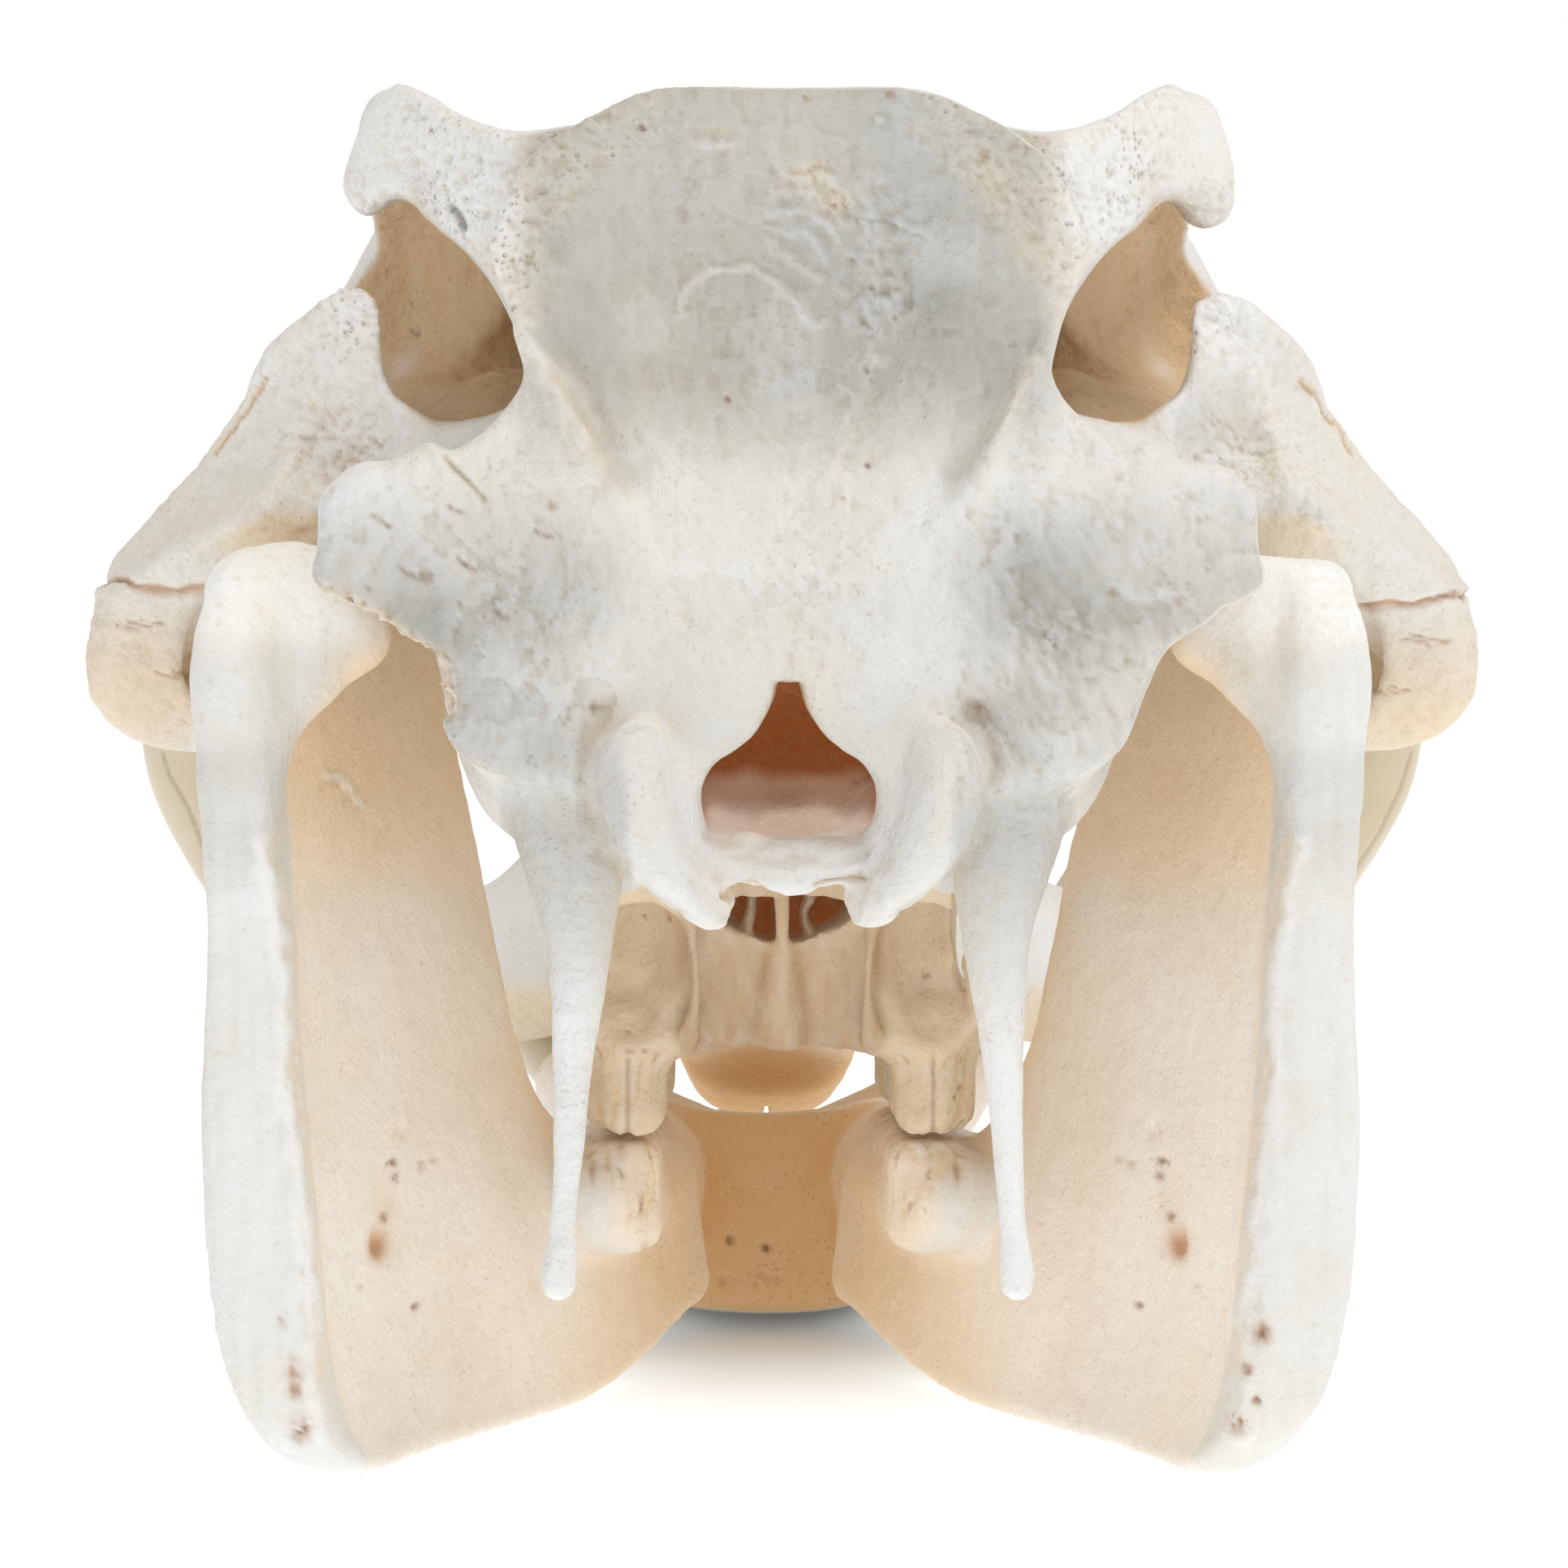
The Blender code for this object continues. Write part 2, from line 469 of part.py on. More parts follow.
def carve_cranium(s):
    s.carve(ball((23, 82, 74), (8.0, 17, 15), (28, 0, 0)), 2)
    s.carve(ball((26, 90, 66), (6.0, 12, 7), (20, 0, 0)), 4)
    s.carve(ball(ORBIT_CENTRE, ORBIT_RADII), 3)
    s.carve(sheet(1, TEMPORAL_OPENING, lambda x, z: 18 + 0 * x, lambda x, z: 34 + 0 * x, 4), 1.5)
    s.carve(tube([(55, 42, 180), (60, 64, 184), (64, 82, 185)], [12, 14, 10], (0.95, 1, 1.22)), 3)
    s.carve(ball((50, 50, 169), (9, 12, 9), (20, 0, 0)), 5)
    s.carve(ball((70, 26.5, 160), (9.5, 8, 10.5), (0, 20, 0)), 2.5)
    s.carve(tube([(60, 64, 96), (62, 72, 120), (66, 72, 140)], [20, 19, 16], (1, 1.5, 1)), 6)
    s.carve(ball((60, 172, 112), (26, 46, 26)), 8)
    s.carve(tube([(0, 96, 54), (0, 130, 54), (0, 250, 52), (0, 290, 48), (0, 318, 40)],
                 [5.5, 6.5, 6.5, 6, 5.5], (2.4, 1, 1)), 4)
    s.carve(ball((33, 196, 108), (5, 10, 5)), 2)
    s.carve(Shape((0, -20, 90), (19, 38, 146), foramen_tunnel), 1)
    s.carve(Shape((0, 64, 52), (24, 376, 132), nasal_passage), 1)
    s.carve(ball((26, 346, 84), (18, 20, 12)), 3)


def add_teeth(s, x, span, root_z, crown_z, columns):
    """Two rows of upright enamel columns, worn to slightly different heights."""
    for k in range(columns):
        y = span[0] + (span[1] - span[0]) * k / (columns - 1)
        for side in (-1, 1):
            wear = 0.25 * math.sin(1.7 * k + side)
            across = x + 3.0 * side
            s.add(tube([(across, y + side, root_z), (across, y + side, crown_z + wear)],
                       [MOLAR_RADIUS, MOLAR_RADIUS - 0.3]), MOLAR_BLEND)


def add_last_column(s, y, root_z, crown_z):
    """The single column that ends the last molar."""
    behind = y - 3.0
    s.add(tube([(MOLAR_X, behind, root_z), (MOLAR_X, behind, crown_z)],
               [MOLAR_RADIUS + 0.4, MOLAR_RADIUS]), MOLAR_BLEND)


def on_side(shape, side):
    """The shape moved with the jaw, on the right side or mirrored to the left."""
    low = [shape.low[0], shape.low[1], shape.low[2]]
    high = [shape.high[0], shape.high[1], shape.high[2]]
    if side < 0:
        low[0], high[0] = -shape.high[0], -shape.low[0]
    low[0] += JAW_SHIFT_X
    high[0] += JAW_SHIFT_X
    return Shape(low, high, lambda x, y, z: shape.distance(side * (x - JAW_SHIFT_X), y, z))


def condyle_forms(extra):
    """The jaw's condyle and its neck, grown by extra."""
    head = tube([(81, 26, 135.2), (73.5, 26.5, 135.4), (66, 28, 129.4)],
                [7.6 + extra, 7.8 + extra, 5.9 + extra])
    lateral = ball((83.4, 21, 122), (7.0 + extra, 9 + extra, 13 + extra))
    middle = ball((75.5, 25, 126.5), (8.5 + extra, 6.5 + extra, 9 + extra))
    neck = tube([(70, 27, 126), (77.5, 22, 119), (82, 16, 107)], [3.5 + extra, 5 + extra, 4.5 + extra])
    return [head, lateral, middle, neck]


def clear_socket(s, root, side):
    """Ends the socket's bone in a flat face where its tusk starts."""
    (px, py, pz), (nx, ny, nz) = root
    low = (min(side * (px - 4), side * (px + 30)), py - SOCKET_REACH, pz - SOCKET_REACH)
    high = (max(side * (px - 4), side * (px + 30)), py + SOCKET_REACH, pz + SOCKET_REACH)
    cut, x, y, z = s.block(low, high)
    beyond = (side * x - px) * nx + (y - py) * ny + (z - pz) * nz
    s.field[cut] = np.maximum(s.field[cut], beyond)


def cranium(step):
    s = Solid((0, -18, 20), (122, 384, 226), step)
    add_braincase(s)
    add_orbit_walls(s)
    add_nuchal_plate(s)
    add_arch(s)
    add_skull_base(s)
    add_snout_forms(s)
    add_condyles(s)
    carve_cranium(s)
    s.add(ball((53, 68, 162), (17, 27, 8), (14, 0, 0)), 6)
    s.add(ball((45, 58, 163), (9, 18, 8), (14, 0, 0)), 6)
    crown = BITE_Z + BITE_GAP
    add_teeth(s, MOLAR_X, UPPER_MOLAR_Y, 66, crown, MOLAR_COLUMNS)
    add_teeth(s, MOLAR_X - 1, UPPER_PREMOLAR_Y, 66, crown, PREMOLAR_COLUMNS)
    add_last_column(s, UPPER_MOLAR_Y[0], 66, crown)
    s.add(tube([(6.5, 340, 36), (6.0, 345, 30), (4.5, 348, 26)], [4.2, 3.6, 2.6]), 1.2)
    s.mirrored()
    for side in (-1, 1):
        for shape in condyle_forms(JOINT_GAP):
            s.carve(on_side(shape, side), 1.5)
        s.carve(on_side(tube(LOWER_TUSK_LINE, [r + TUSK_GAP for r in LOWER_TUSK_RADII], per_span=6), side),
                1.0)
        clear_socket(s, UPPER_TUSK_ROOT, side)
    s.add(tube([(64.6, 43, 210.6), (66.4, 45, 204.5), (66.5, 46, 197.8)], [3.4, 3.9, 4.2]), 3)
    s.carve(ball((68, 30, 190.5), (12, 12, 9.4), (0, 10, 0)), 2)
    for broken in ((-66, 10, 130.5, 4.0), (-61.5, 9, 128.0, 4.6), (-56.5, 8, 124.5, 4.4),
                   (-53.5, 8, 119.5, 3.2)):
        s.carve(ball(broken[:3], (broken[3], 9, broken[3])), 1)
    return s


# Mandible
def ramus_middle(y, z):
    rear = graded(z, [(-5, 68), (0, 70.5), (8, 75), (20, 78.4), (38, 80.2), (60, 81.8), (80, 82.2),
                      (100, 83), (115, 84.2), (130, 84.5), (150, 82)])
    fore = graded(z, [(-5, 36), (5, 38), (20, 41), (40, 42.5), (60, 46.8), (90, 50.6), (120, 54),
                      (145, 57)])
    return rear + (fore - rear) * np.clip((y - 14) / 94.0, 0, 1.7)


def ramus_half(y, z):
    band = graded(z, [(-5, 2.0), (5, 2.4), (20, 3.6), (38, 4.2), (60, 3.6), (80, 2.8), (100, 2.2),
                      (125, 2.0), (150, 2.0)])
    foot = graded(z, [(-5, 4), (15, 3), (40, 1.5), (70, 0.3), (150, 0)]) * np.clip((y - 60) / 50.0, 0, 1.3)
    return 3.0 + band / (1 + (np.abs(y - 12) / 11.5) ** 5) + foot


def chin_block(x, y, z):
    top = graded(y, [(180, 44), (200, 41.5), (225, 38.5), (250, 36.5), (290, 34), (312, 31)])
    top = top + 5 * np.clip(np.abs(x) / 24, 0, 1.2) ** 2
    bottom = graded(y, [(180, 7), (195, 5), (225, 1.2), (250, -0.8), (270, 2.2), (290, 11), (305, 22),
                        (312, 26)])
    w = graded(y, [(180, 23), (205, 24), (240, 29), (265, 33), (285, 31), (300, 27), (312, 22)])
    mid, half = (top + bottom) / 2, (top - bottom) / 2
    n = CHIN_SQUARENESS
    side = (((np.abs(x) / w) ** n + (np.abs(z - mid) / half) ** n + 1e-9) ** (1 / n) - 1) * np.minimum(w,
                                                                                                       half)
    rear = 190 + 6 * np.clip(1 - (x / 20) ** 2, 0, 1) + 0.12 * (z - 20)
    return smooth_max(smooth_max(side, y - 308, 5), rear - y, 4)


def mandible(step):
    s = Solid((0, -4, -6), (104, 330, 160), step)
    ramus = [(20, 140), (14.5, 126), (12.5, 112), (12, 96), (13.5, 84), (13, 66), (11.5, 46), (11, 26),
             (13.5, 10), (19, 2), (28, -1), (45, -1), (75, -1), (105, 0), (130, 4), (150, 9), (165, 14),
             (165, 36), (150, 40), (128, 41), (116, 46), (110, 62), (106, 86), (100, 112), (93, 134),
             (86, 145), (78, 147), (70, 138), (58, 131), (44, 131), (32, 138)]
    s.add(sheet(0, ramus, ramus_middle, ramus_half, 3.4), 4)
    for shape, blend in zip(condyle_forms(0.0), (2, 4, 4, 5)):
        s.add(shape, blend)
    s.add(tube([(50, 96, 20), (41, 118, 21), (33, 145, 22), (27, 170, 24), (22, 195, 25)],
               [15, 16, 15, 14, 14], (0.72, 1, 1.3)), 6)
    s.add(tube([(30, 104, 34), (27, 130, 33), (25, 165, 33), (22, 195, 32)], [8, 9, 9, 9]), 5)
    s.add(Shape((0, 176, -2), (40, 316, 52), chin_block), 6)
    s.carve(ball((0, 266, 49), (15, 44, 11)), 5)
    s.add(tube([(20, 256, 29), (29, 265, 34), (36, 272.5, 41.5)], [11, 10.5, 9.5]), 5)
    s.carve(tube([(60.0, 60, 50), (61.0, 54, 42), (62.4, 47, 33.5)], [0.9, 1.6, 2.1]), 1)
    crown = BITE_Z - BITE_GAP
    add_teeth(s, MOLAR_X, LOWER_MOLAR_Y, 30, crown, MOLAR_COLUMNS)
    add_teeth(s, MOLAR_X - 1, LOWER_PREMOLAR_Y, 30, crown, PREMOLAR_COLUMNS)
    add_last_column(s, LOWER_MOLAR_Y[0], 30, crown)
    for k, across in enumerate(INCISOR_X):
        s.add(tube([(across, 296 - 2 * k, 24), (across * 1.1, 311 - 2.5 * k, 26.5),
                    (across * 1.12, 319 - 3 * k, 28.5)],
                   [INCISOR_RADIUS, INCISOR_RADIUS, INCISOR_RADIUS - 0.6]), 1)
    clear_socket(s, LOWER_TUSK_ROOT, 1)
    s.mirrored()
    s.carve(ball((78, 26, 151), (22, 22, 9.6), (0, 5, 0)), 3)
    return s


def reached(points, root, reach):
    """A tusk's line with its free part stretched sideways out of the socket."""
    start = root[0][0]
    return [(start + max(x - start, 0) * reach + min(x - start, 0), y, z) for x, y, z in points]


def tusk(step, points, radii, root, reach=1.0):
    """A tusk on the right side, flat where it meets its socket."""
    points = reached(points, root, reach)
    margin = max(radii) + 2
    low = [min(p[i] for p in points) - margin for i in range(3)]
    high = [max(p[i] for p in points) + margin for i in range(3)]
    s = Solid(low, high, step)
    s.add(tube(points, radii, per_span=6), 1)
    (px, py, pz), (nx, ny, nz) = root
    x, y, z = s.axes[0][:, None, None], s.axes[1][None, :, None], s.axes[2][None, None, :]
    s.field = np.maximum(s.field, PARTING_GAP - (x - px) * nx - (y - py) * ny - (z - pz) * nz)
    return s


# Meshes
def bone_material(name, colour, roughness):
    material = bpy.data.materials.new(name)
    material.use_nodes = True
    shader = material.node_tree.nodes["Principled BSDF"]
    shader.inputs["Base Color"].default_value = (*colour, 1.0)
    shader.inputs["Roughness"].default_value = roughness
    shader.inputs["Metallic"].default_value = 0.0
    material.diffuse_color = (*colour, 1.0)
    return material


def mesh_object(name, points, faces):
    mesh = bpy.data.meshes.new(name)
    mesh.from_pydata((points * MM).tolist(), [], faces.tolist())
    item = bpy.data.objects.new(name, mesh)
    bpy.context.scene.collection.objects.link(item)
    return item


def applied(item):
    """Gives the object the shape that its modifiers make, and drops them."""
    evaluated = item.evaluated_get(bpy.context.evaluated_depsgraph_get())
    mesh = bpy.data.meshes.new_from_object(evaluated)
    item.modifiers.clear()
    item.data = mesh
    return item


def thinned(name, solid, triangles):
    """The solid as a mesh of about so many triangles."""
    points, faces = solid.quads()
    item = mesh_object(name, points, faces)
    thin = item.modifiers.new("thin", "DECIMATE")
    thin.ratio = triangles / (2.0 * len(faces))
    thin.use_collapse_triangulate = True
    return applied(item)


def block_object(low, high):
    """A cutter: a box between two corners, in millimetres."""
    corners = [(x, y, z) for x in (low[0], high[0]) for y in (low[1], high[1]) for z in (low[2], high[2])]
    faces = [(0, 1, 3, 2), (4, 6, 7, 5), (0, 4, 5, 1), (2, 3, 7, 6), (0, 2, 6, 4), (1, 5, 7, 3)]
    item = mesh_object("cutter", np.array(corners, float), np.array(faces))
    item.hide_render = True
    item.display_type = "WIRE"
    return item


def largest_surface(item):
    """Keeps only the closed surface with the most faces."""
    mesh = item.data
    linked = list(range(len(mesh.vertices)))

    def root_of(v):
        while linked[v] != v:
            linked[v] = linked[linked[v]]
            v = linked[v]
        return v

    for edge in mesh.edges:
        a, b = (root_of(v) for v in edge.vertices)
        linked[a] = b
    roots = [root_of(v) for v in range(len(mesh.vertices))]
    sizes = {}
    for face in mesh.polygons:
        key = roots[face.vertices[0]]
        sizes[key] = sizes.get(key, 0) + face.area
    best = max(sizes, key=sizes.get)
    old = [v for v in range(len(roots)) if roots[v] == best]
    new_index = {v: k for k, v in enumerate(old)}
    kept = bpy.data.meshes.new(mesh.name)
    faces = [[new_index[v] for v in face.vertices] for face in mesh.polygons
             if roots[face.vertices[0]] == best]
    kept.from_pydata([tuple(mesh.vertices[v].co) for v in old], [], faces)
    item.data = kept
    return item


def cut_piece(name, whole, keep, take_away=()):
    """The part of a bone inside the box keep and outside the boxes take_away."""
    piece = mesh_object(name, np.zeros((0, 3)), np.zeros((0, 3), int))
    piece.data = whole.data.copy()
    cutters = [(block_object(*keep), "INTERSECT")] + [(block_object(*box),
                                                       "DIFFERENCE") for box in take_away]
    for cutter, operation in cutters:
        cut = piece.modifiers.new("part", "BOOLEAN")
        cut.object = cutter
        cut.operation = operation
        cut.solver = "EXACT"
        applied(piece)
        bpy.data.objects.remove(cutter)
    return largest_surface(piece)


def grown(box, gap):
    low, high = box
    return [v - gap for v in low], [v + gap for v in high]


def mirrored_box(box):
    low, high = box
    return (-high[0], low[1], low[2]), (-low[0], high[1], high[2])


def triangulated(item):
    cut = item.modifiers.new("triangles", "TRIANGULATE")
    cut.min_vertices = 4
    return applied(item)


def finished(item, material):
    """Triangles, smooth shading with sharp rims at the flat cuts, and the node's own material."""
    triangulated(item)
    mesh = item.data
    mesh.materials.clear()
    mesh.materials.append(material)
    mesh.polygons.foreach_set("use_smooth", [True] * len(mesh.polygons))
    mesh.set_sharp_from_angle(angle=math.radians(SHARP_DEGREES))
    mesh.name = item.name
    return item


def part_cranium(whole):
    half = PARTING_GAP / 2
    far = FAR_BOX
    rods = [((PAROCCIPITAL_INNER_X, -20, 0), (48, OCCIPUT_CUT_Y, PAROCCIPITAL_CUT_Z))]
    rods.append(mirrored_box(rods[0]))
    arches = [((ARCH_INNER_X, ARCH_REAR_Y, 60), (140, SNOUT_CUT_Y, ARCH_TOP_Z))]
    arches.append(mirrored_box(arches[0]))
    rear = OCCIPUT_CUT_Y + half, SNOUT_CUT_Y - half
    pieces = [
        cut_piece("occiput", whole, ((-far, -far, -far), (far, OCCIPUT_CUT_Y - half, far)),
                  [grown(b, half) for b in rods]),
        cut_piece("braincase", whole, ((-far, rear[0], -far), (far, rear[1], FOREHEAD_CUT_Z - half)),
                  [grown(b, half) for b in arches]),
        cut_piece("forehead", whole, ((-far, rear[0], FOREHEAD_CUT_Z + half), (far, rear[1], far))),
        cut_piece("snout", whole, ((-far, SNOUT_CUT_Y + half, -far), (far, far, far))),
    ]
    for k, side in enumerate(("right", "left")):
        pieces.append(cut_piece("zygomatic_arch_" + side, whole, grown(arches[k], -half)))
        pieces.append(cut_piece("paroccipital_process_" + side, whole, grown(rods[k], -half)))
    return pieces


def part_mandible(whole):
    """The three pieces of the jaw, cut flat at the floor that they rest on."""
    half = PARTING_GAP / 2
    far = FAR_BOX
    middle = JAW_SHIFT_X
    return [
        cut_piece("mandible_chin", whole, ((-far, CHIN_CUT_Y + half, 0), (far, far, far))),
        cut_piece("mandible_ramus_right", whole, ((middle, -far, 0), (far, CHIN_CUT_Y - half, far))),
        cut_piece("mandible_ramus_left", whole, ((-far, -far, 0), (middle, CHIN_CUT_Y - half, far))),
    ]


def tusk_pair(name, points, radii, root, triangles, shift, reach):
    pair = []
    for side, label in ((1, "_right"), (-1, "_left")):
        item = thinned(name + label, tusk(GRID_STEP, points, radii, root, reach[side]), triangles)
        for v in item.data.vertices:
            v.co.x = side * v.co.x + shift * MM
        if side < 0:
            item.data.flip_normals()
        pair.append(item)
    return pair


def stand_on_origin(items):
    """Moves everything so that the origin is the middle of the bounding box's base."""
    points = [v.co for item in items for v in item.data.vertices]
    low = [min(p[i] for p in points) for i in range(3)]
    high = [max(p[i] for p in points) for i in range(3)]
    shift = (-(low[0] + high[0]) / 2, -(low[1] + high[1]) / 2, -low[2])
    for item in items:
        for v in item.data.vertices:
            v.co.x += shift[0]
            v.co.y += shift[1]
            v.co.z += shift[2]
    return shift


def build():
    wipe_scene()
    skull = thinned("cranium_whole", cranium(GRID_STEP), CRANIUM_TRIANGLES)
    jaw = thinned("mandible_whole", mandible(GRID_STEP), MANDIBLE_TRIANGLES)
    for v in jaw.data.vertices:
        v.co.x += JAW_SHIFT_X * MM
    bones = part_cranium(skull) + part_mandible(jaw)
    bpy.data.objects.remove(skull)
    bpy.data.objects.remove(jaw)
    tusks = tusk_pair("upper_tusk", UPPER_TUSK_LINE, UPPER_TUSK_RADII, UPPER_TUSK_ROOT,
                      UPPER_TUSK_TRIANGLES, 0.0, UPPER_TUSK_REACH)
    tusks += tusk_pair("lower_tusk", LOWER_TUSK_LINE, LOWER_TUSK_RADII, LOWER_TUSK_ROOT,
                       LOWER_TUSK_TRIANGLES, JAW_SHIFT_X, {1: 1.0, -1: 1.0})
    for item in bones:
        colour = JAW_COLOUR if item.name.startswith("mandible") else BONE_COLOUR
        finished(item, bone_material(item.name, colour, BONE_ROUGHNESS))
    for item in tusks:
        finished(item, bone_material(item.name, IVORY_COLOUR, IVORY_ROUGHNESS))
    shift = stand_on_origin(bones + tusks)
    print("moved by", [round(v / MM, 3) for v in shift])
    total = 0
    for item in bones + tusks:
        total += len(item.data.polygons)
        print(item.name, len(item.data.polygons))
    print("triangles", total)


build()
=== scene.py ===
"""Looks of a warthog skull that stands on its own jaw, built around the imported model.

The cranium, the jaw and the four tusks are finer meshes of the same forms, with the broken edge, cracks,
pores, sutures and scroll bones worked into them. Lengths are in millimetres until a mesh is written in
metres.
"""

import math

import bpy
import numpy as np
import openvdb
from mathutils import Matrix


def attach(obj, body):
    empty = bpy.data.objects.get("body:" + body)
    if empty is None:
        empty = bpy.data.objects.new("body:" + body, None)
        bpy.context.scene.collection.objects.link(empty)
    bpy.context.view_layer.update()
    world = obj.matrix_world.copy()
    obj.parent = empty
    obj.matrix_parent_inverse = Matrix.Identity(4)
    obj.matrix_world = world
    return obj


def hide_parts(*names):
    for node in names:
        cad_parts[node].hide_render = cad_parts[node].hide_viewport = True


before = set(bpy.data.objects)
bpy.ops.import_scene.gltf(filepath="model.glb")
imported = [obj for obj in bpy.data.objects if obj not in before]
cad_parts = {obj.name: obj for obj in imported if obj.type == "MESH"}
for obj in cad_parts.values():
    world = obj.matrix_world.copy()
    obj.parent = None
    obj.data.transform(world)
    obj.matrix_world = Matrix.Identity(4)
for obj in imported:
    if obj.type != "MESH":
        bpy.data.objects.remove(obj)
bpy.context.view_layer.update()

# From the forms' own millimetres to the frame
MODEL_SHIFT = np.array([-2.519, -177.653, 0.0])
MM = 0.001

PARTING_GAP = 0.3
FAR_AWAY = 60.0
JAW_SHIFT_X = -1.0
ROOF_HALF_THICKNESS = 5.5
CHEEK_HALF_THICKNESS = 5.2
SEPTUM_HALF_THICKNESS = 1.1
NOSE_SOLID_Y = (122.0, 285.0)
ORBIT_CENTRE = (74.0, 70.0, 184.0)
ORBIT_RADII = (30.0, 20.5, 16.5)
MUZZLE_SQUARENESS = 3.2
CHIN_SQUARENESS = 3.0
MOLAR_COLUMNS = 9
MOLAR_RADIUS = 4.2
MOLAR_BLEND = 2.4
MOLAR_X = 26.0
UPPER_MOLAR_Y = (106.0, 160.0)
LOWER_MOLAR_Y = (108.0, 162.0)
PREMOLAR_COLUMNS = 2
UPPER_PREMOLAR_Y = (170.0, 178.0)
LOWER_PREMOLAR_Y = (171.0, 179.0)
BITE_Z = 45.0
BITE_GAP = 4.5
INCISOR_RADIUS = 2.6
INCISOR_X = (3.6, 9.6, 15.6)
UPPER_TUSK_LINE = [(40, 264, 67), (54, 268, 65), (66, 270, 64.5), (77, 271, 66.5), (90, 271, 73),
                   (101.5, 270, 82.5), (110, 268, 94), (115.5, 265.5, 105), (117, 262.5, 117),
                   (114.5, 259, 131), (109, 256, 143), (102, 253.5, 152)]
UPPER_TUSK_RADII = [12.2, 12.2, 12.1, 11.9, 11.6, 11.0, 10.2, 9.4, 8.2, 6.2, 4.0, 1.0]
# The right tusk reaches a little further out of its socket than the left
UPPER_TUSK_REACH = {1: 1.05, -1: 0.95}
LOWER_TUSK_LINE = [(27, 262, 31), (36, 273, 41), (46, 285, 51), (55, 293, 63), (62, 296, 77), (66, 295, 89)]
LOWER_TUSK_RADII = [7.2, 7.0, 6.4, 5.4, 3.8, 0.8]
# Where each tusk leaves its socket, and which way it points there
UPPER_TUSK_ROOT = ((66.0, 270.0, 64.5), (1.0, 0.0, 0.0))
LOWER_TUSK_ROOT = ((38.5, 276.0, 43.5), (0.54, 0.65, 0.54))
SOCKET_REACH = 24.0
JOINT_GAP = 0.6
TUSK_GAP = 0.7

# Mesh steps in millimetres
CRANIUM_STEP = 0.72
MANDIBLE_STEP = 0.86
TUSK_STEP = 0.8

# Colour masks: the first four are written in one layer and the rest in another
TONES = ("warm", "amber", "dark", "yellow", "pores", "stripes", "grey", "glow")

# Where the left wing's lower edge is broken off, as x and z, and how many notches each span has
BROKEN_EDGE = [(-70, 134), (-66.5, 132.6), (-61.5, 130.2), (-57.5, 127), (-53.5, 124.5), (-52.0, 119.5)]
SPLINTERS = 4
TUSK_CRACKS = [[(-118.3, 106.6), (-117.3, 102.8), (-113.5, 96.1), (-110.7, 88.5)],
               [(125.5, 107), (123.5, 100), (119.5, 91), (113, 81)]]

# The rim of an ear pit as x, how far it stands out and z, and the top edge of a wing as x and z
EAR_RIM = [(68, 4.0, 181), (78, 4.6, 174.5), (82.3, 4.4, 168), (81.5, 4.4, 160.5), (76, 4.6, 153)]
EAR_RIM_RADII = [1.4, 1.9, 1.6, 2.0, 1.5]
WING_TOP = [(68, 150), (64, 152.6), (59.5, 154), (54, 156)]
WING_TOP_RADII = [1.8, 2.8, 1.7, 2.4]

# The scroll bones: the places down each plate and its radii there
SCROLL_BONES = [([(-5.2, 86, 88.5), (-5.0, 86, 84.5), (-6.0, 86, 79.5)], (0.55, 0.8, 1.4)),
                ([(3.0, 87, 88.5), (4.8, 87, 86.6), (3.7, 87, 83.6), (4.8, 87, 80.0)], (0.6, 0.9, 0.8, 1.3))]

# Noise: what scrambles a place into a repeatable number, and what keeps the left side's noise off the right's
HASH_PRIMES = (73856093, 19349663, 83492791, 26544357)
HASH_SPREAD = 1274126177
FAR_SIDE = 300.0

# How far above a point the air is looked at, to tell how hollow its place is
OPEN_REACH = 7.0

# The grid of how much bone is near: its two corners, its step, how many steps it is averaged over to each
# side, and how far above a point it is read
CROWD_LOW = (-135, -45, -30)
CROWD_HIGH = (135, 420, 245)
CROWD_STEP = 3.0
CROWD_REACH = 3
CROWD_LOOK = 15.0

# Camera: its place in the forms' millimetres, its lens and sensor in millimetres, the nearest distance
# that it sees in metres, and how far it looks down and to the side for each step ahead
CAMERA_PLACE = (-12.0, -850.0, 127.2)
CAMERA_LENS = 130.286
CAMERA_SENSOR = 36.0
CAMERA_NEAREST = 0.05
CAMERA_DROP = 166 / 6992
CAMERA_SWING = 6 / 6992 - 12 / 850

# Light: how bright the room is at its sides, at both ends and overhead, and how much the far end adds to that
# and the near end takes off (below 0, so the near end is the brighter one), then the lamp
ROOM_SIDES = 0.40
ROOM_ENDS = 0.53
ROOM_TILT = -0.07
ROOM_TOP = 0.36
LAMP_PLACE = (0.4, -0.4, 1.35)
LAMP_TARGET = (0.0, 0.0, 0.1)
LAMP_SIZE = 0.6
LAMP_POWER = 6.5

# The floor: half its width in metres, and its own glow, which is lowered under the chin as a painted shadow
# and grows from faint there to its full strength at the reach
FLOOR_HALF = 6.0
FLOOR_GLOW = 0.62
FLOOR_SHADE_OFFSET = (0.0, -0.06, 0.0)
FLOOR_SHADE_REACH = 0.165
FLOOR_SHADE = 0.05

# Creases and crests, which get painted shade and painted highlight: heights in millimetres that count in
# full, how much the fine and the broad ones each add to the mask, and how strongly the painted shade and
# highlight tint the bone
FINE_CREASE = 0.26
BROAD_CREASE = 0.45
CREASE_SHARE = 0.6
CREASE_SHADE_TINT = 0.7
CREST_HIGHLIGHT_TINT = 0.25

# How strongly bone is given a painted glow in its own colour, standing in for the light that comes through
# thin bone and bounces about in hollows
PAINTED_GLOW_STRENGTH = 0.40
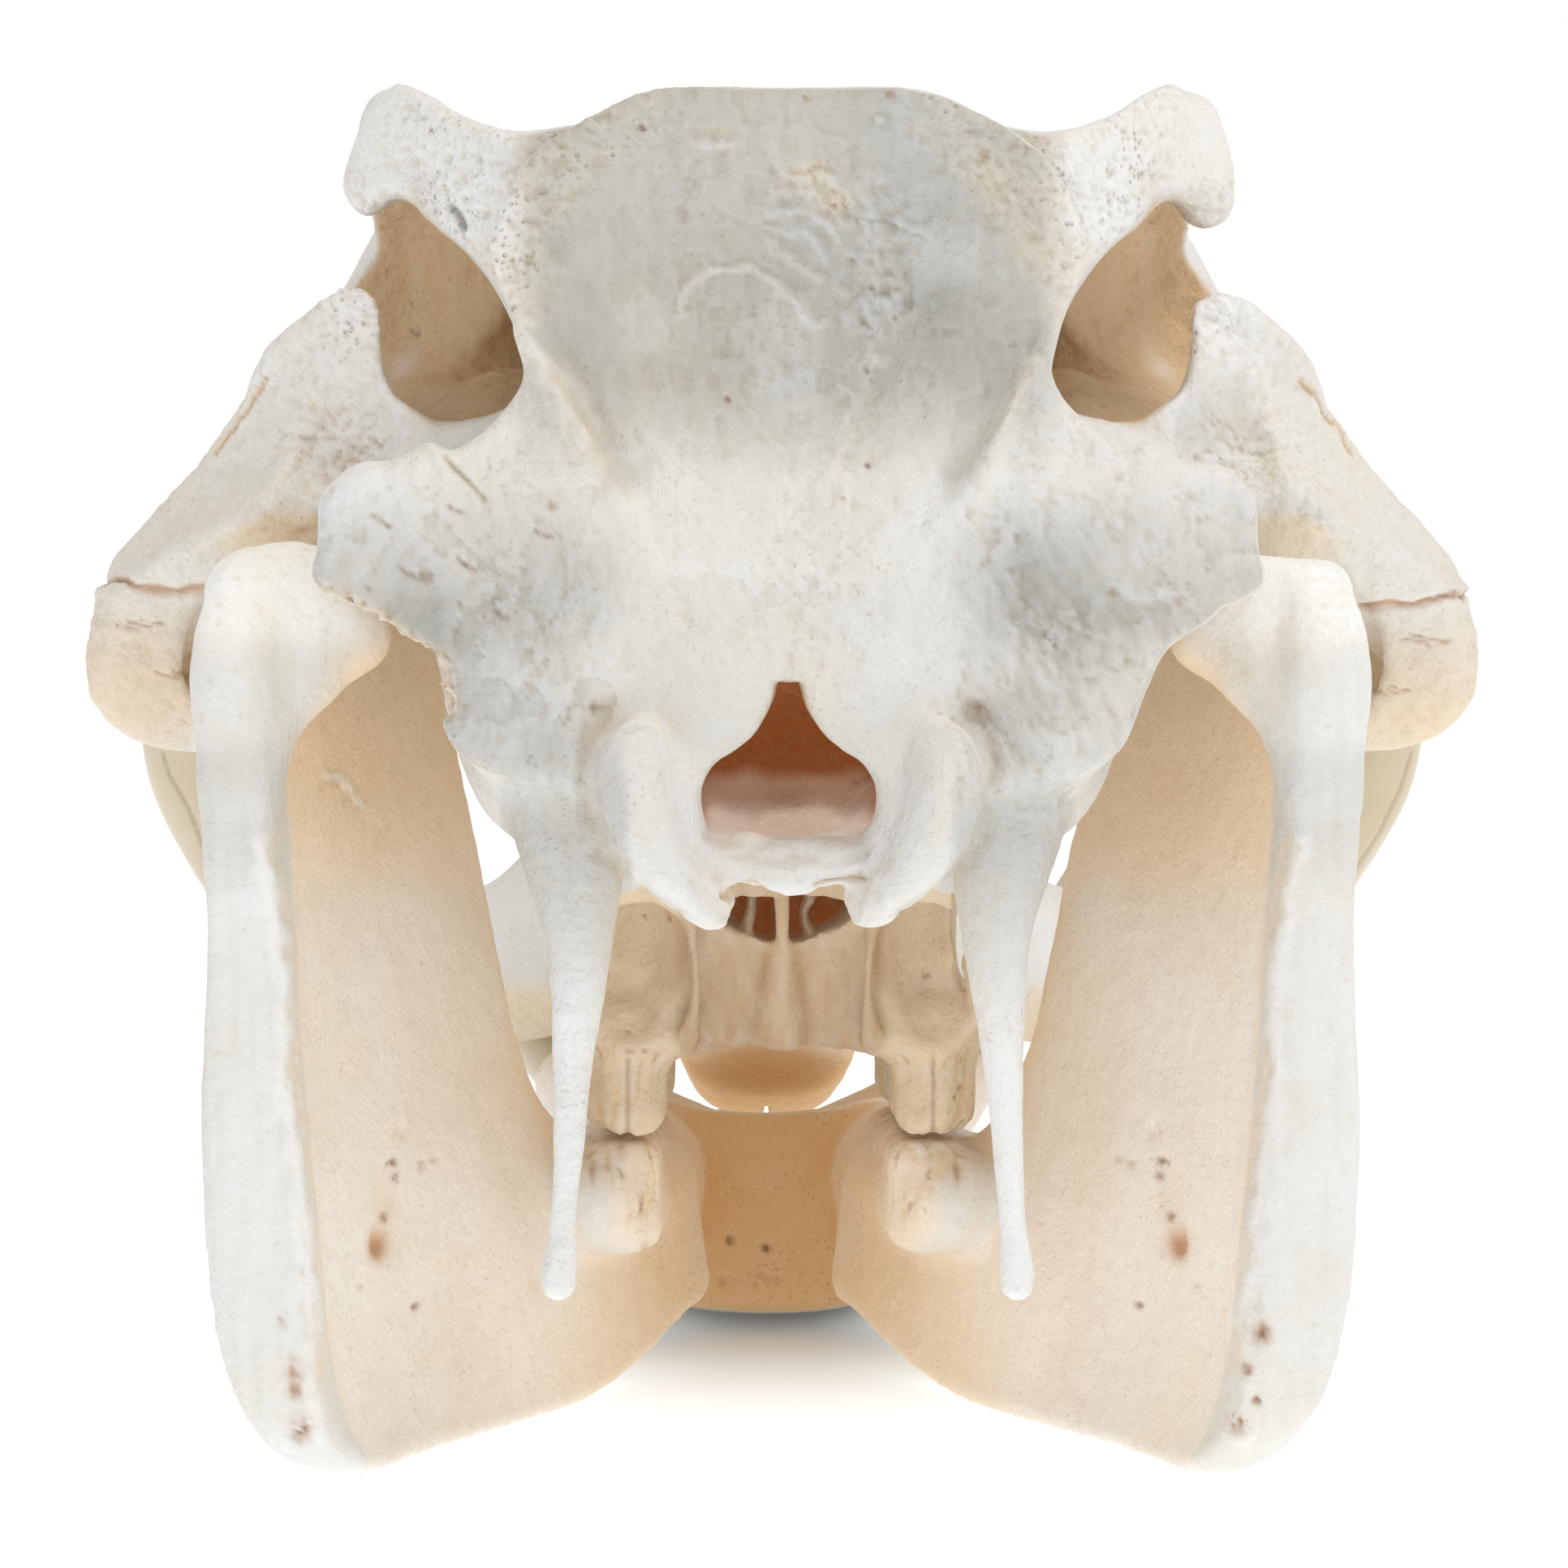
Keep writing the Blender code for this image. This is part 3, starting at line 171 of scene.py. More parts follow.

# Bone colours, among them those of painted shade and painted highlight, and how far the specks, pores and
# grain tint it
CRANIUM_BONE = (0.90, 0.885, 0.86)
CRANIUM_WARM = (0.86, 0.69, 0.48)
JAW_BONE = (0.90, 0.88, 0.84)
JAW_WARM = (0.92, 0.76, 0.57)
CLOUD_SHADE = (0.95, 0.93, 0.89)
GREY_AND_PAINTED_SHADE = (0.40, 0.384, 0.34)
HONEY_YELLOW = (0.92, 0.60, 0.25)
DEEP_AMBER = (0.46, 0.125, 0.006)
FLECK_BROWN = (0.50, 0.36, 0.22)
PORE_BROWN = (0.42, 0.28, 0.17)
CREASE_SHADE_BROWN = (0.70, 0.61, 0.51)
CREST_HIGHLIGHT_WHITE = (0.95, 0.94, 0.92)
GRAIN_BROWN = (0.60, 0.52, 0.42)
STAIN_AND_HOLE_SHADE_BLACK = (0.045, 0.035, 0.03)
FLECK_TINT = 0.18
PORE_TINT = 0.5
GRAIN_TINT = 0.10

# Ivory and floor colours
IVORY_PALE = (0.70, 0.61, 0.45)
IVORY_DEEP = (0.63, 0.51, 0.34)
IVORY_RING = (0.68, 0.62, 0.50)
IVORY_WARM = (0.62, 0.48, 0.29)
IVORY_CRACK = (0.16, 0.10, 0.06)
FLOOR_BLUE = (0.76, 0.835, 0.91, 1.0)
WHITE = (1.0, 1.0, 1.0, 1.0)

# Heights of the fine relief in metres
GRAIN_HEIGHT = 0.0004
FIBRE_HEIGHT = 0.0008
PORE_DEPTH = 0.0005
RING_HEIGHT = 0.0003


def smooth_min(a, b, k):
    """The lower of two distances, with the corner rounded over k."""
    h = np.clip(0.5 + 0.5 * (b - a) / k, 0, 1)
    return b + (a - b) * h - k * h * (1 - h)


def smooth_max(a, b, k):
    return -smooth_min(-a, -b, k)


def spline(a, b, c, d, t):
    """Catmull-Rom between b and c."""
    bend = (2 * a - 5 * b + 4 * c - d) * t * t + (3 * b - 3 * c + d - a) * t**3
    return 0.5 * (2 * b + (c - a) * t + bend)


def along(points, per_span):
    """A smooth curve through rows of numbers, with per_span steps between two of them."""
    rows = np.array(points, float)
    rows = np.vstack([2 * rows[0] - rows[1], rows, 2 * rows[-1] - rows[-2]])
    steps = np.arange(per_span) / per_span
    curve = [spline(*rows[i - 1:i + 3], t) for i in range(1, len(rows) - 2) for t in steps]
    return np.array(curve + [rows[-2]])


def ring_through(points, per_span):
    """A smooth closed curve through points."""
    rows = np.array(points, float)
    n = len(rows)
    return np.array([spline(rows[i - 1], rows[i], rows[(i + 1) % n], rows[(i + 2) % n], t)
                     for i in range(n) for t in np.arange(per_span) / per_span])


def graded(at, knots):
    """A value that changes smoothly through (place, value) pairs."""
    curve = along(knots, 8)
    return np.interp(at, curve[:, 0], curve[:, 1]).astype(np.float32)


def bump(u, v, u0, v0, wide, high):
    return np.exp(-(((u - u0) / wide) ** 2) - ((v - v0) / high) ** 2)


def both_sides(half_loop):
    """A closed outline from its half at x >= 0, listed from one end of the middle line to the other."""
    return half_loop + [(-x, v) for x, v in reversed(half_loop) if x > 0]


def turning(rx, ry, rz):
    cx, sx, cy, sy, cz, sz = (f(math.radians(v)) for v in (rx, ry, rz) for f in (math.cos, math.sin))
    about_x = np.array([[1, 0, 0], [0, cx, -sx], [0, sx, cx]])
    about_y = np.array([[cy, 0, sy], [0, 1, 0], [-sy, 0, cy]])
    about_z = np.array([[cz, -sz, 0], [sz, cz, 0], [0, 0, 1]])
    return about_z @ about_y @ about_x


class Shape:
    """A distance function with the box that holds its inside."""

    def __init__(self, low, high, distance):
        self.low, self.high, self.distance = np.array(low, float), np.array(high, float), distance


def ball(centre, radii, turn=(0, 0, 0)):
    c, r = np.array(centre, float), np.array(radii, float)
    m = turning(*turn).T
    reach = np.sqrt(((m.T * r) ** 2).sum(1))

    def distance(x, y, z):
        p = (x - c[0], y - c[1], z - c[2])
        q = [(m[i, 0] * p[0] + m[i, 1] * p[1] + m[i, 2] * p[2]) / r[i] for i in range(3)]
        k0 = np.sqrt(q[0] ** 2 + q[1] ** 2 + q[2] ** 2)
        k1 = np.sqrt((q[0] / r[0]) ** 2 + (q[1] / r[1]) ** 2 + (q[2] / r[2]) ** 2)
        return k0 * (k0 - 1) / np.maximum(k1, 1e-6)

    return Shape(c - reach, c + reach, distance)


def tube(points, radii, squeeze=(1, 1, 1), per_span=4):
    """Round cones along a smooth curve. squeeze stretches the whole shape along the axes."""
    rows = along([list(p) + [r] for p, r in zip(points, radii)], per_span)
    sq = np.array(squeeze, float)
    line, rad = rows[:, :3] / sq, np.maximum(rows[:, 3], 0.2)
    reach = rad.max() * sq

    def distance(x, y, z):
        x, y, z = x / sq[0], y / sq[1], z / sq[2]
        best = None
        for a, b, ra, rb in zip(line[:-1], line[1:], rad[:-1], rad[1:]):
            d = b - a
            length = max(float(d @ d), 1e-9)
            px, py, pz = x - a[0], y - a[1], z - a[2]
            t = np.clip((px * d[0] + py * d[1] + pz * d[2]) / length, 0, 1)
            q = np.sqrt((px - d[0] * t) ** 2 + (py - d[1] * t) ** 2 + (pz - d[2] * t) ** 2)
            q -= ra + (rb - ra) * t
            best = q if best is None else np.minimum(best, q)
        return best * sq.min()

    return Shape(rows[:, :3].min(0) - reach, rows[:, :3].max(0) + reach, distance)


def outline_distance(u, v, loop):
    """Distance in a plane to a closed loop of points, negative inside."""
    u, v = np.broadcast_arrays(u, v)
    best = np.full(u.shape, 1e9, np.float32)
    inside = np.zeros(u.shape, bool)
    for i in range(len(loop)):
        a, b = loop[i], loop[(i + 1) % len(loop)]
        d = b - a
        t = np.clip(((u - a[0]) * d[0] + (v - a[1]) * d[1]) / max(float(d @ d), 1e-9), 0, 1)
        best = np.minimum(best, (u - a[0] - d[0] * t) ** 2 + (v - a[1] - d[1] * t) ** 2)
        if abs(d[1]) > 1e-9:
            inside ^= ((a[1] > v) != (b[1] > v)) & (u < a[0] + (v - a[1]) * d[0] / d[1])
    best = np.sqrt(best)
    return np.where(inside, -best, best).astype(np.float32)


def sheet(axis, loop, mid, half, edge, per_span=5):
    """A curved plate seen along an axis. loop is its outline in the other two axes, mid(u, v) where its
    middle lies along the axis, half(u, v) half its thickness, edge how far its rim is rounded."""
    loop = ring_through(loop, per_span)
    others = [i for i in range(3) if i != axis]
    near, far = loop.min(0), loop.max(0)
    low, high = np.zeros(3), np.zeros(3)
    low[others], high[others] = near, far
    gu, gv = np.meshgrid(np.linspace(near[0], far[0], 24), np.linspace(near[1], far[1], 24), indexing="ij")
    m, h = mid(gu, gv) + 0 * gu, half(gu, gv) + 0 * gu
    low[axis], high[axis] = (m - h).min(), (m + h).max()

    def distance(x, y, z):
        p = (x, y, z)
        u, v, w = p[others[0]], p[others[1]], p[axis]
        m = mid(u, v)
        slope_u, slope_v = mid(u + 1, v) - m, mid(u, v + 1) - m
        lean = np.sqrt(1 + np.clip(slope_u, -3, 3) ** 2 + np.clip(slope_v, -3, 3) ** 2)
        return smooth_max(np.abs(w - m) / lean - half(u, v), outline_distance(u, v, loop), edge)

    return Shape(low, high, distance)


class Solid:
    """A solid held as distances on a grid of points, for its half at x >= 0."""

    def __init__(self, low, high, step):
        self.low, self.step = np.array(low, float), step
        counts = np.ceil((np.array(high, float) - self.low) / step).astype(int) + 1
        self.axes = [(self.low[i] + step * np.arange(counts[i])).astype(np.float32) for i in range(3)]
        self.field = np.full(counts, FAR_AWAY, np.float32)

    def block(self, low, high):
        cut = []
        for i in range(3):
            a = int(math.floor((low[i] - self.low[i]) / self.step))
            b = int(math.ceil((high[i] - self.low[i]) / self.step)) + 1
            cut.append(slice(max(a, 0), max(min(b, len(self.axes[i])), 0)))
        x, y, z = (self.axes[i][cut[i]] for i in range(3))
        return tuple(cut), x[:, None, None], y[None, :, None], z[None, None, :]

    def add(self, shape, blend):
        reach = 2 * blend + 4
        cut, x, y, z = self.block(shape.low - reach, shape.high + reach)
        if self.field[cut].size:
            self.field[cut] = smooth_min(self.field[cut], shape.distance(x, y, z).astype(np.float32), blend)

    def carve(self, shape, blend):
        reach = 2 * blend + 2
        cut, x, y, z = self.block(shape.low - reach, shape.high + reach)
        if self.field[cut].size:
            self.field[cut] = smooth_max(self.field[cut], -shape.distance(x, y, z).astype(np.float32),
                                         blend)

    def mirrored(self):
        """The whole solid from its half, whose first plane of points is x = 0."""
        self.axes[0] = np.concatenate([-self.axes[0][:0:-1], self.axes[0]])
        self.low[0] = self.axes[0][0]
        self.field = np.concatenate([self.field[:0:-1], self.field])
        return self

    def quads(self):
        band = 3 * self.step
        grid = openvdb.FloatGrid(band)
        grid.copyFromArray(np.clip(self.field, -band, band))
        points, faces = grid.convertToQuads(isovalue=0.0)
        return points * self.step + self.low, faces


# Cranium
def roof_top(x, y):
    """Height of the forehead and of the muzzle's upper face."""
    ridge = graded(y, [(-10, 206), (0, 206.5), (20, 205.5), (50, 202.5), (85, 195), (120, 183.5),
                       (160, 169.5), (210, 152), (260, 135), (300, 122), (335, 110), (372, 97)])
    swell = graded(y, [(-10, 0), (0, 0), (20, 4), (42, 12), (60, 12), (80, 7), (96, 3), (120, 0), (140, -2),
                       (200, -3), (372, -3)])
    dip = graded(y, [(-10, 0), (120, 0), (150, 1.0), (300, 1.5), (372, 1.5)]) * np.exp(-((x / 7.0) ** 2))
    return ridge + swell * np.clip(np.abs(x) / 62.0, 0, 1.0) ** 4.0 - dip


def muzzle(x, y, z):
    top = roof_top(x, y)
    bottom = graded(y, [(80, 84), (95, 68), (106, 60), (130, 59), (200, 59), (250, 57), (290, 52),
                        (312, 44), (326, 34), (338, 29.5), (354, 31)])
    wide_top = graded(y, [(80, 52), (100, 48), (130, 39), (170, 32.5), (210, 29), (250, 28), (290, 25),
                          (320, 20), (345, 14.5), (360, 11)])
    wide_base = graded(y, [(80, 28), (100, 29), (130, 31), (170, 30), (210, 31), (250, 35), (290, 32),
                           (315, 26), (335, 21), (352, 18)])
    pinch = graded(y, [(80, 0), (110, 1), (150, 4), (200, 5), (240, 2), (290, 3), (372, 2)])
    mid, half = (top + bottom) / 2, (top - bottom) / 2
    h = np.clip((z - mid) / half, -1.3, 1.3)
    w = wide_base + (wide_top - wide_base) * (h + 1) / 2 - pinch * (1 - h * h)
    n = MUZZLE_SQUARENESS
    reach = ((np.abs(x) / w) ** n + np.abs(h) ** n + 1e-9) ** (1 / n)
    side = (reach - 1) * np.minimum(w, half) * 0.9
    front = 353 - 10 * np.clip((z - 44) / 40, 0, 1) ** 2
    return smooth_max(smooth_max(side, y - front, 5), 86 - y, 6)


def cheek_middle(y, z):
    face = graded(z, [(105, 90), (111, 95.5), (118, 102), (124, 105), (134, 104.3), (139, 101), (144, 96),
                      (151, 89.5), (157, 84), (164, 78.5), (169, 75), (174, 71), (179, 66.5), (186, 61),
                      (196, 57)])
    return face * graded(y, [(20, 0.80), (35, 0.86), (50, 0.95), (64, 1.0), (80, 0.98), (100, 0.88),
                             (118, 0.70), (136, 0.50)])


def nuchal_back(x, z):
    """Where the nuchal plate's rear face lies along y."""
    ax = np.abs(x)
    fan = 13 * bump(x, z, 0, 173, 32, 33)
    rim = -2 * np.clip((z - 192) / 20, 0, 1) ** 2
    wing = 3.0 * np.clip((ax - 40) / 30, 0, 1) - 2.0
    mounds = -2.6 * bump(ax, z, 11, 121, 9, 9)
    aside = ax - 0.57 * (z - 163)
    groove = 2.2 * bump(aside, z, 30.4, 163, 3.8, 16) - 2.0 * bump(aside, z, 35.4, 164, 3.4, 13)
    hollows = 2.0 * bump(ax, z, 44, 156, 8, 8) + 2.0 * bump(ax, z, 28.5, 117.5, 6.5, 5)
    return 2.0 + fan + rim + wing + mounds + groove + hollows


def nuchal_half(x, z):
    return 3.6 + 2.4 * np.clip((60 - np.abs(x)) / 30, 0, 1) * np.clip((190 - z) / 25, 0, 1)


def nasal_passage(x, y, z):
    """The two halves of the nose, with the septum left between them, solid where nothing shows it."""
    centre = graded(y, [(60, 84), (75, 84.5), (110, 104), (160, 105), (260, 92), (300, 84), (330, 76),
                        (372, 72)])
    wide = graded(y, [(60, 11), (75, 12), (100, 14), (160, 17), (260, 18), (310, 16), (340, 15), (372, 16)])
    high = graded(y, [(60, 4.5), (75, 5), (100, 18), (160, 25), (260, 23), (310, 20), (340, 19), (372, 18)])
    hollow = (np.sqrt((x / wide) ** 2 + ((z - centre) / high) ** 2) - 1) * np.minimum(wide, high)
    seen = np.maximum(66 - y, np.minimum(y - NOSE_SOLID_Y[0], NOSE_SOLID_Y[1] - y))
    return smooth_max(np.maximum(hollow, SEPTUM_HALF_THICKNESS - np.abs(x)), seen, 6)


def palate_ramp(x, y, z):
    """The slope from the choanae down to the rear edge of the palate."""
    face = (y - 77) * 0.60 - (82 - z) * 0.80
    wide = np.abs(x) - graded(z, [(50, 33), (62, 31.5), (72, 30), (84, 28), (100, 26)])
    return np.maximum(np.maximum(np.maximum(-face, wide), 59 - z), y - 130)


FORAMEN_HALF = [(0, 123.2), (2.9, 122.9), (3.6, 119.6), (4.7, 116.6), (6.3, 114.0), (8.9, 111.6),
                (11.6, 109.8), (13.5, 107.0), (14.2, 103.8), (13.9, 100.0), (12.8, 96.4), (11.6, 94.4),
                (6.0, 94.0), (0, 94.2)]


# Outline of the opening between the process, the spur and the braincase, seen from behind
TEMPORAL_OPENING = [(62, 196.4), (59, 197.2), (55, 193), (50, 189), (46, 184.2), (42.8, 178.6),
                    (41.2, 173.6), (41, 168.8), (43.6, 164.8), (48.4, 163), (54, 163), (58.2, 164.8),
                    (61.2, 167.4), (62.6, 172), (63, 178), (63.6, 184), (64.4, 191)]


def foramen_tunnel(x, y, z):
    """The foramen magnum: an onion dome run forwards, its floor rising and its roof coming down."""
    lift = 0.55 * np.clip(y + 3, 0, 40) * np.clip((126 - z) / 26, 0, 1)
    flat = outline_distance(x + 0 * y, z - lift + 0 * x, ring_through(both_sides(FORAMEN_HALF), 3))
    widening = 0.25 * np.clip(y - 1, 0, 12) * np.exp(-(((z - 104) / 7) ** 2))
    end = graded(z, [(88, 36), (100, 34), (108, 32), (113, 27), (118, 20), (124, 11), (150, 6)])
    return np.maximum(flat + 0.12 * np.clip(y + 8, 0, 14) - widening, (y - end) * 0.8)


def sunk(y):
    """How far the forehead's plate sinks into the muzzle towards its front end."""
    return 5.0 * np.clip((y - 88) / 58, 0, 1)


def add_braincase(s):
    s.add(ball((0, 62, 160), (40, 42, 44)), 1)
    s.add(ball((0, 74, 128), (30, 42, 36)), 12)
    s.add(Shape((0, 80, 26), (55, 358, 212), muzzle), 9)
    roof_half = [(0, 13), (19, 13), (31, 14), (40, 21), (45, 29), (53, 37), (60, 43), (66, 50), (68, 62),
                 (67, 76), (63, 90), (54, 106), (44, 124), (36, 146), (0, 146)]
    s.add(sheet(2, both_sides(roof_half), lambda x, y: roof_top(x, y) - ROOF_HALF_THICKNESS - sunk(y),
                lambda x, y: ROOF_HALF_THICKNESS + 0 * x, 4), 6)


def orbit_front(x, z):
    """Where the wall ahead of the orbit lies along y."""
    return 99 + 0.30 * np.clip(197 - z, 0, 40) * np.clip((88 - np.abs(x)) / 40, 0, 1)


def add_orbit_walls(s):
    process = [(28, 204), (40, 205.5), (50, 209.5), (56, 213.6), (61, 214.8), (65.5, 211), (68.4, 204),
               (69.2, 199), (66, 195.2), (61.5, 196), (57.5, 194), (53, 190), (48.5, 186), (45, 181),
               (42, 176), (39, 170), (32, 168), (26, 180)]
    sweep = [(20, 14), (30, 16), (40, 20), (50, 29), (60, 39), (72, 47)]
    s.add(sheet(1, process, lambda x, z: graded(np.abs(x), sweep), lambda x, z: 5.4 + 0 * x, 4), 4)
    front_wall = [(16, 182), (42, 186), (55, 187), (63, 186), (69, 182.5), (75, 178), (83, 168), (90, 156),
                  (88, 142), (70, 136), (40, 130), (16, 150)]
    s.add(sheet(1, front_wall, orbit_front, lambda x, z: 6.5 + 0 * x, 6), 6)
    s.add(tube([(57, 84, 187), (50, 101, 178), (41, 121, 166), (31, 148, 151), (26, 170, 143)],
               [11, 14, 15, 13, 9]), 14)
    s.add(tube([(57, 94, 200), (62.3, 96, 196.5), (65.7, 97, 191.5), (69, 96, 185), (74, 92, 176)],
               [3.0, 4.0, 4.2, 4.2, 4.2]), 4)
    s.add(tube([(32, 156, 124), (50, 136, 134), (68, 117, 144), (84, 98, 148)], [13, 15, 15, 12],
               (1, 1, 1.4)), 10)


def add_nuchal_plate(s):
    plate = [(0, 211.4), (19, 211.2), (28, 207.8), (34, 204.6), (40, 199.6), (44.4, 190), (44.6, 186),
             (41.8, 177), (39.6, 169), (43, 163), (49.5, 157.5), (58, 154.6), (66, 152.6),
             (70.2, 149.4), (70.8, 143), (71.4, 136.8), (65.5, 133.4), (62.5, 130.8), (57, 127),
             (53.5, 120), (50, 112), (43, 108), (34, 107), (24, 105), (12, 98), (0, 97)]
    s.add(sheet(1, both_sides(plate), lambda x, z: nuchal_back(x, z) + nuchal_half(x, z), nuchal_half, 2.2,
                4), 6)
    s.add(ball((22, 32, 134), (32, 25, 26)), 10)
    s.add(tube([(26, 24, 150), (46, 28, 150), (62, 33, 150)], [15, 12, 9], (1, 1, 1.15)), 8)


def arch_face(x, z):
    """Where the middle of the spur and of the arch's rear face lies along y."""
    return 32 + 0.5 * (np.abs(x) - 60) + 0.3 * np.clip(np.abs(x) - 72, 0, 40)


def add_arch(s):
    s.add(tube([(58, 36, 150), (73, 46, 149), (86, 56, 144), (98, 67, 135)], [9.5, 9.5, 8.5, 7],
               (1, 1, 1.2)), 6)
    face = [(60.8, 177), (62.6, 180.6), (66, 182.6), (70, 182.4), (75, 178.4), (82, 170.4), (91, 158.6),
            (97.6, 151.2), (103.4, 145), (106, 140.4), (103.6, 136.6), (98, 136), (91, 139.6), (88, 144.2),
            (83, 148), (73, 150.6), (62, 152), (55, 160), (59, 168)]
    s.add(sheet(1, face, arch_face, lambda x, z: 4.4 + 0 * x, 2.0), 3)
    cheek = [(33, 176), (42, 171), (50, 168), (62, 166.5), (78, 167.5), (92, 174), (102, 182), (114, 172),
             (128, 152), (134, 134), (128, 121), (112, 116), (95, 112), (78, 110.5), (64, 113), (55, 121),
             (50, 133), (42, 142), (30, 148), (26, 160)]
    s.add(sheet(0, cheek, cheek_middle, lambda y, z: CHEEK_HALF_THICKNESS + 1.8 * bump(y, z, 68, 122, 25,
                                                                                       14), 4), 5)


def add_skull_base(s):
    base_half = [(0, -3.4), (7, -3.6), (11.5, -2), (14, 8), (14, 30), (13, 60), (13, 92), (0, 92)]
    s.add(sheet(2, both_sides(base_half), lambda x, y: 93.2 + 0.14 * y + 0.010 * x * x, lambda x,
                y: 2.2 + 0.09 * y, 2.4), 4)
    s.add(tube([(20, 3, 104), (17, 14, 104), (12, 34, 106)], [8.5, 10, 10]), 5)
    paroccipital = [(38, 16, 120), (34.5, 14, 108), (32.4, 11.5, 97), (31.8, 9.6, 88), (31.7, 8.9, 79),
                    (32.6, 8.6, 66), (33.2, 8.4, 53.5), (34, 8.6, 41), (34.7, 8.8, 33.5), (34.8, 8.8, 31)]
    s.add(tube(paroccipital, [12, 10, 8.4, 6.0, 4.5, 3.2, 2.5, 2.0, 2.7, 2.6]), 6)
    s.add(tube([(47.5, 22, 126), (46, 23, 114), (42.5, 24, 105), (36, 24, 99)], [5.4, 5.2, 4.8, 4.4],
               (1, 1.6, 1)), 4)
    s.add(ball((26, 38, 99), (8, 14, 10)), 5)
    s.add(Shape((0, 70, 56), (36, 134, 100), palate_ramp), 4)
    s.add(tube([(16.2, 72, 92), (15.2, 74, 85), (14.6, 80, 75), (14.8, 89, 66), (15.8, 100, 61)],
               [1.5, 1.1, 1.1, 1.3, 2.2]), 2)
    s.add(tube([(31, 76, 96), (33, 84, 82), (32, 96, 68)], [2.6, 2.4, 3.6]), 4)
    s.add(tube([(0, 76, 89), (0, 79, 82), (0, 86, 73), (0, 98, 63), (0, 103, 59)],
               [0.8, 1.2, 2.2, 3.6, 3.4], (1.2, 1, 1)), 2.5)
    s.add(ball((0.6, 103, 58.6), (5.2, 4, 2.6)), 1.5)
    s.add(ball((25, 108, 64), (9, 14, 8)), 4)


def add_condyles(s):
    """The two occipital condyles and the bone between them and the foramen magnum."""
    line = [(21.8, 1, 114.8), (23.2, -3, 110.6), (23.2, -5.5, 105.4), (21.2, -6, 98.8), (17.6, -5.5, 92.8),
            (13.0, -4, 88.9), (10.4, -2.5, 87.4)]
    s.add(tube(line, [3.0, 5.4, 5.9, 5.6, 4.4, 2.9, 1.7], (1, 1.4, 1), per_span=6), 1.5)
    s.add(tube([(17.5, 5, 110), (17.2, 3.5, 104), (15.4, 3, 98), (12.2, 2, 93), (9.8, 1.5, 89.5)],
               [3.4, 4.0, 3.8, 2.6, 1.8], (1, 1.7, 1)), 2.0)


def add_snout_forms(s):
    s.add(tube([(24, 250, 80), (38, 260, 71), (50, 267, 66), (61, 269.8, 64.5)], [18, 17.4, 16, 15]), 8)
    s.add(tube([(20, 238, 97), (33, 254, 92), (43, 266, 82), (48, 279, 74)], [9, 8, 6, 4.5]), 7)
    s.add(tube([(7, 290, 114), (7, 325, 104.5), (5.5, 350, 97), (3.0, 366, 92.5)], [5.5, 6, 5, 3.4],
               (1.5, 1, 0.8)), 5)


def carve_cranium(s):
    s.carve(ball((23, 82, 74), (8.0, 17, 15), (28, 0, 0)), 2)
    s.carve(ball((26, 90, 66), (6.0, 12, 7), (20, 0, 0)), 4)
    s.carve(ball(ORBIT_CENTRE, ORBIT_RADII), 3)
    s.carve(sheet(1, TEMPORAL_OPENING, lambda x, z: 18 + 0 * x, lambda x, z: 34 + 0 * x, 4), 1.5)
    s.carve(tube([(55, 42, 180), (60, 64, 184), (64, 82, 185)], [12, 14, 10], (0.95, 1, 1.22)), 3)
    s.carve(ball((50, 50, 169), (9, 12, 9), (20, 0, 0)), 5)
    s.carve(ball((70, 26.5, 160), (9.5, 8, 10.5), (0, 20, 0)), 2.5)
    s.carve(tube([(60, 64, 96), (62, 72, 120), (66, 72, 140)], [20, 19, 16], (1, 1.5, 1)), 6)
    s.carve(ball((60, 172, 112), (26, 46, 26)), 8)
    s.carve(tube([(0, 96, 54), (0, 130, 54), (0, 250, 52), (0, 290, 48), (0, 318, 40)],
                 [5.5, 6.5, 6.5, 6, 5.5], (2.4, 1, 1)), 4)
    s.carve(ball((33, 196, 108), (5, 10, 5)), 2)
    s.carve(Shape((0, -20, 90), (19, 38, 146), foramen_tunnel), 1)
    s.carve(Shape((0, 64, 52), (24, 376, 132), nasal_passage), 1)
    s.carve(ball((26, 346, 84), (18, 20, 12)), 3)


def add_teeth(s, x, span, root_z, crown_z, columns):
    """Two rows of upright enamel columns, worn to slightly different heights."""
    for k in range(columns):
        y = span[0] + (span[1] - span[0]) * k / (columns - 1)
        for side in (-1, 1):
            wear = 0.25 * math.sin(1.7 * k + side)
            across = x + 3.0 * side
            s.add(tube([(across, y + side, root_z), (across, y + side, crown_z + wear)],
                       [MOLAR_RADIUS, MOLAR_RADIUS - 0.3]), MOLAR_BLEND)


def add_last_column(s, y, root_z, crown_z):
    """The single column that ends the last molar."""
    behind = y - 3.0
    s.add(tube([(MOLAR_X, behind, root_z), (MOLAR_X, behind, crown_z)],
               [MOLAR_RADIUS + 0.4, MOLAR_RADIUS]), MOLAR_BLEND)


def on_side(shape, side):
    """The shape moved with the jaw, on the right side or mirrored to the left."""
    low = [shape.low[0], shape.low[1], shape.low[2]]
    high = [shape.high[0], shape.high[1], shape.high[2]]
    if side < 0:
        low[0], high[0] = -shape.high[0], -shape.low[0]
    low[0] += JAW_SHIFT_X
    high[0] += JAW_SHIFT_X
    return Shape(low, high, lambda x, y, z: shape.distance(side * (x - JAW_SHIFT_X), y, z))


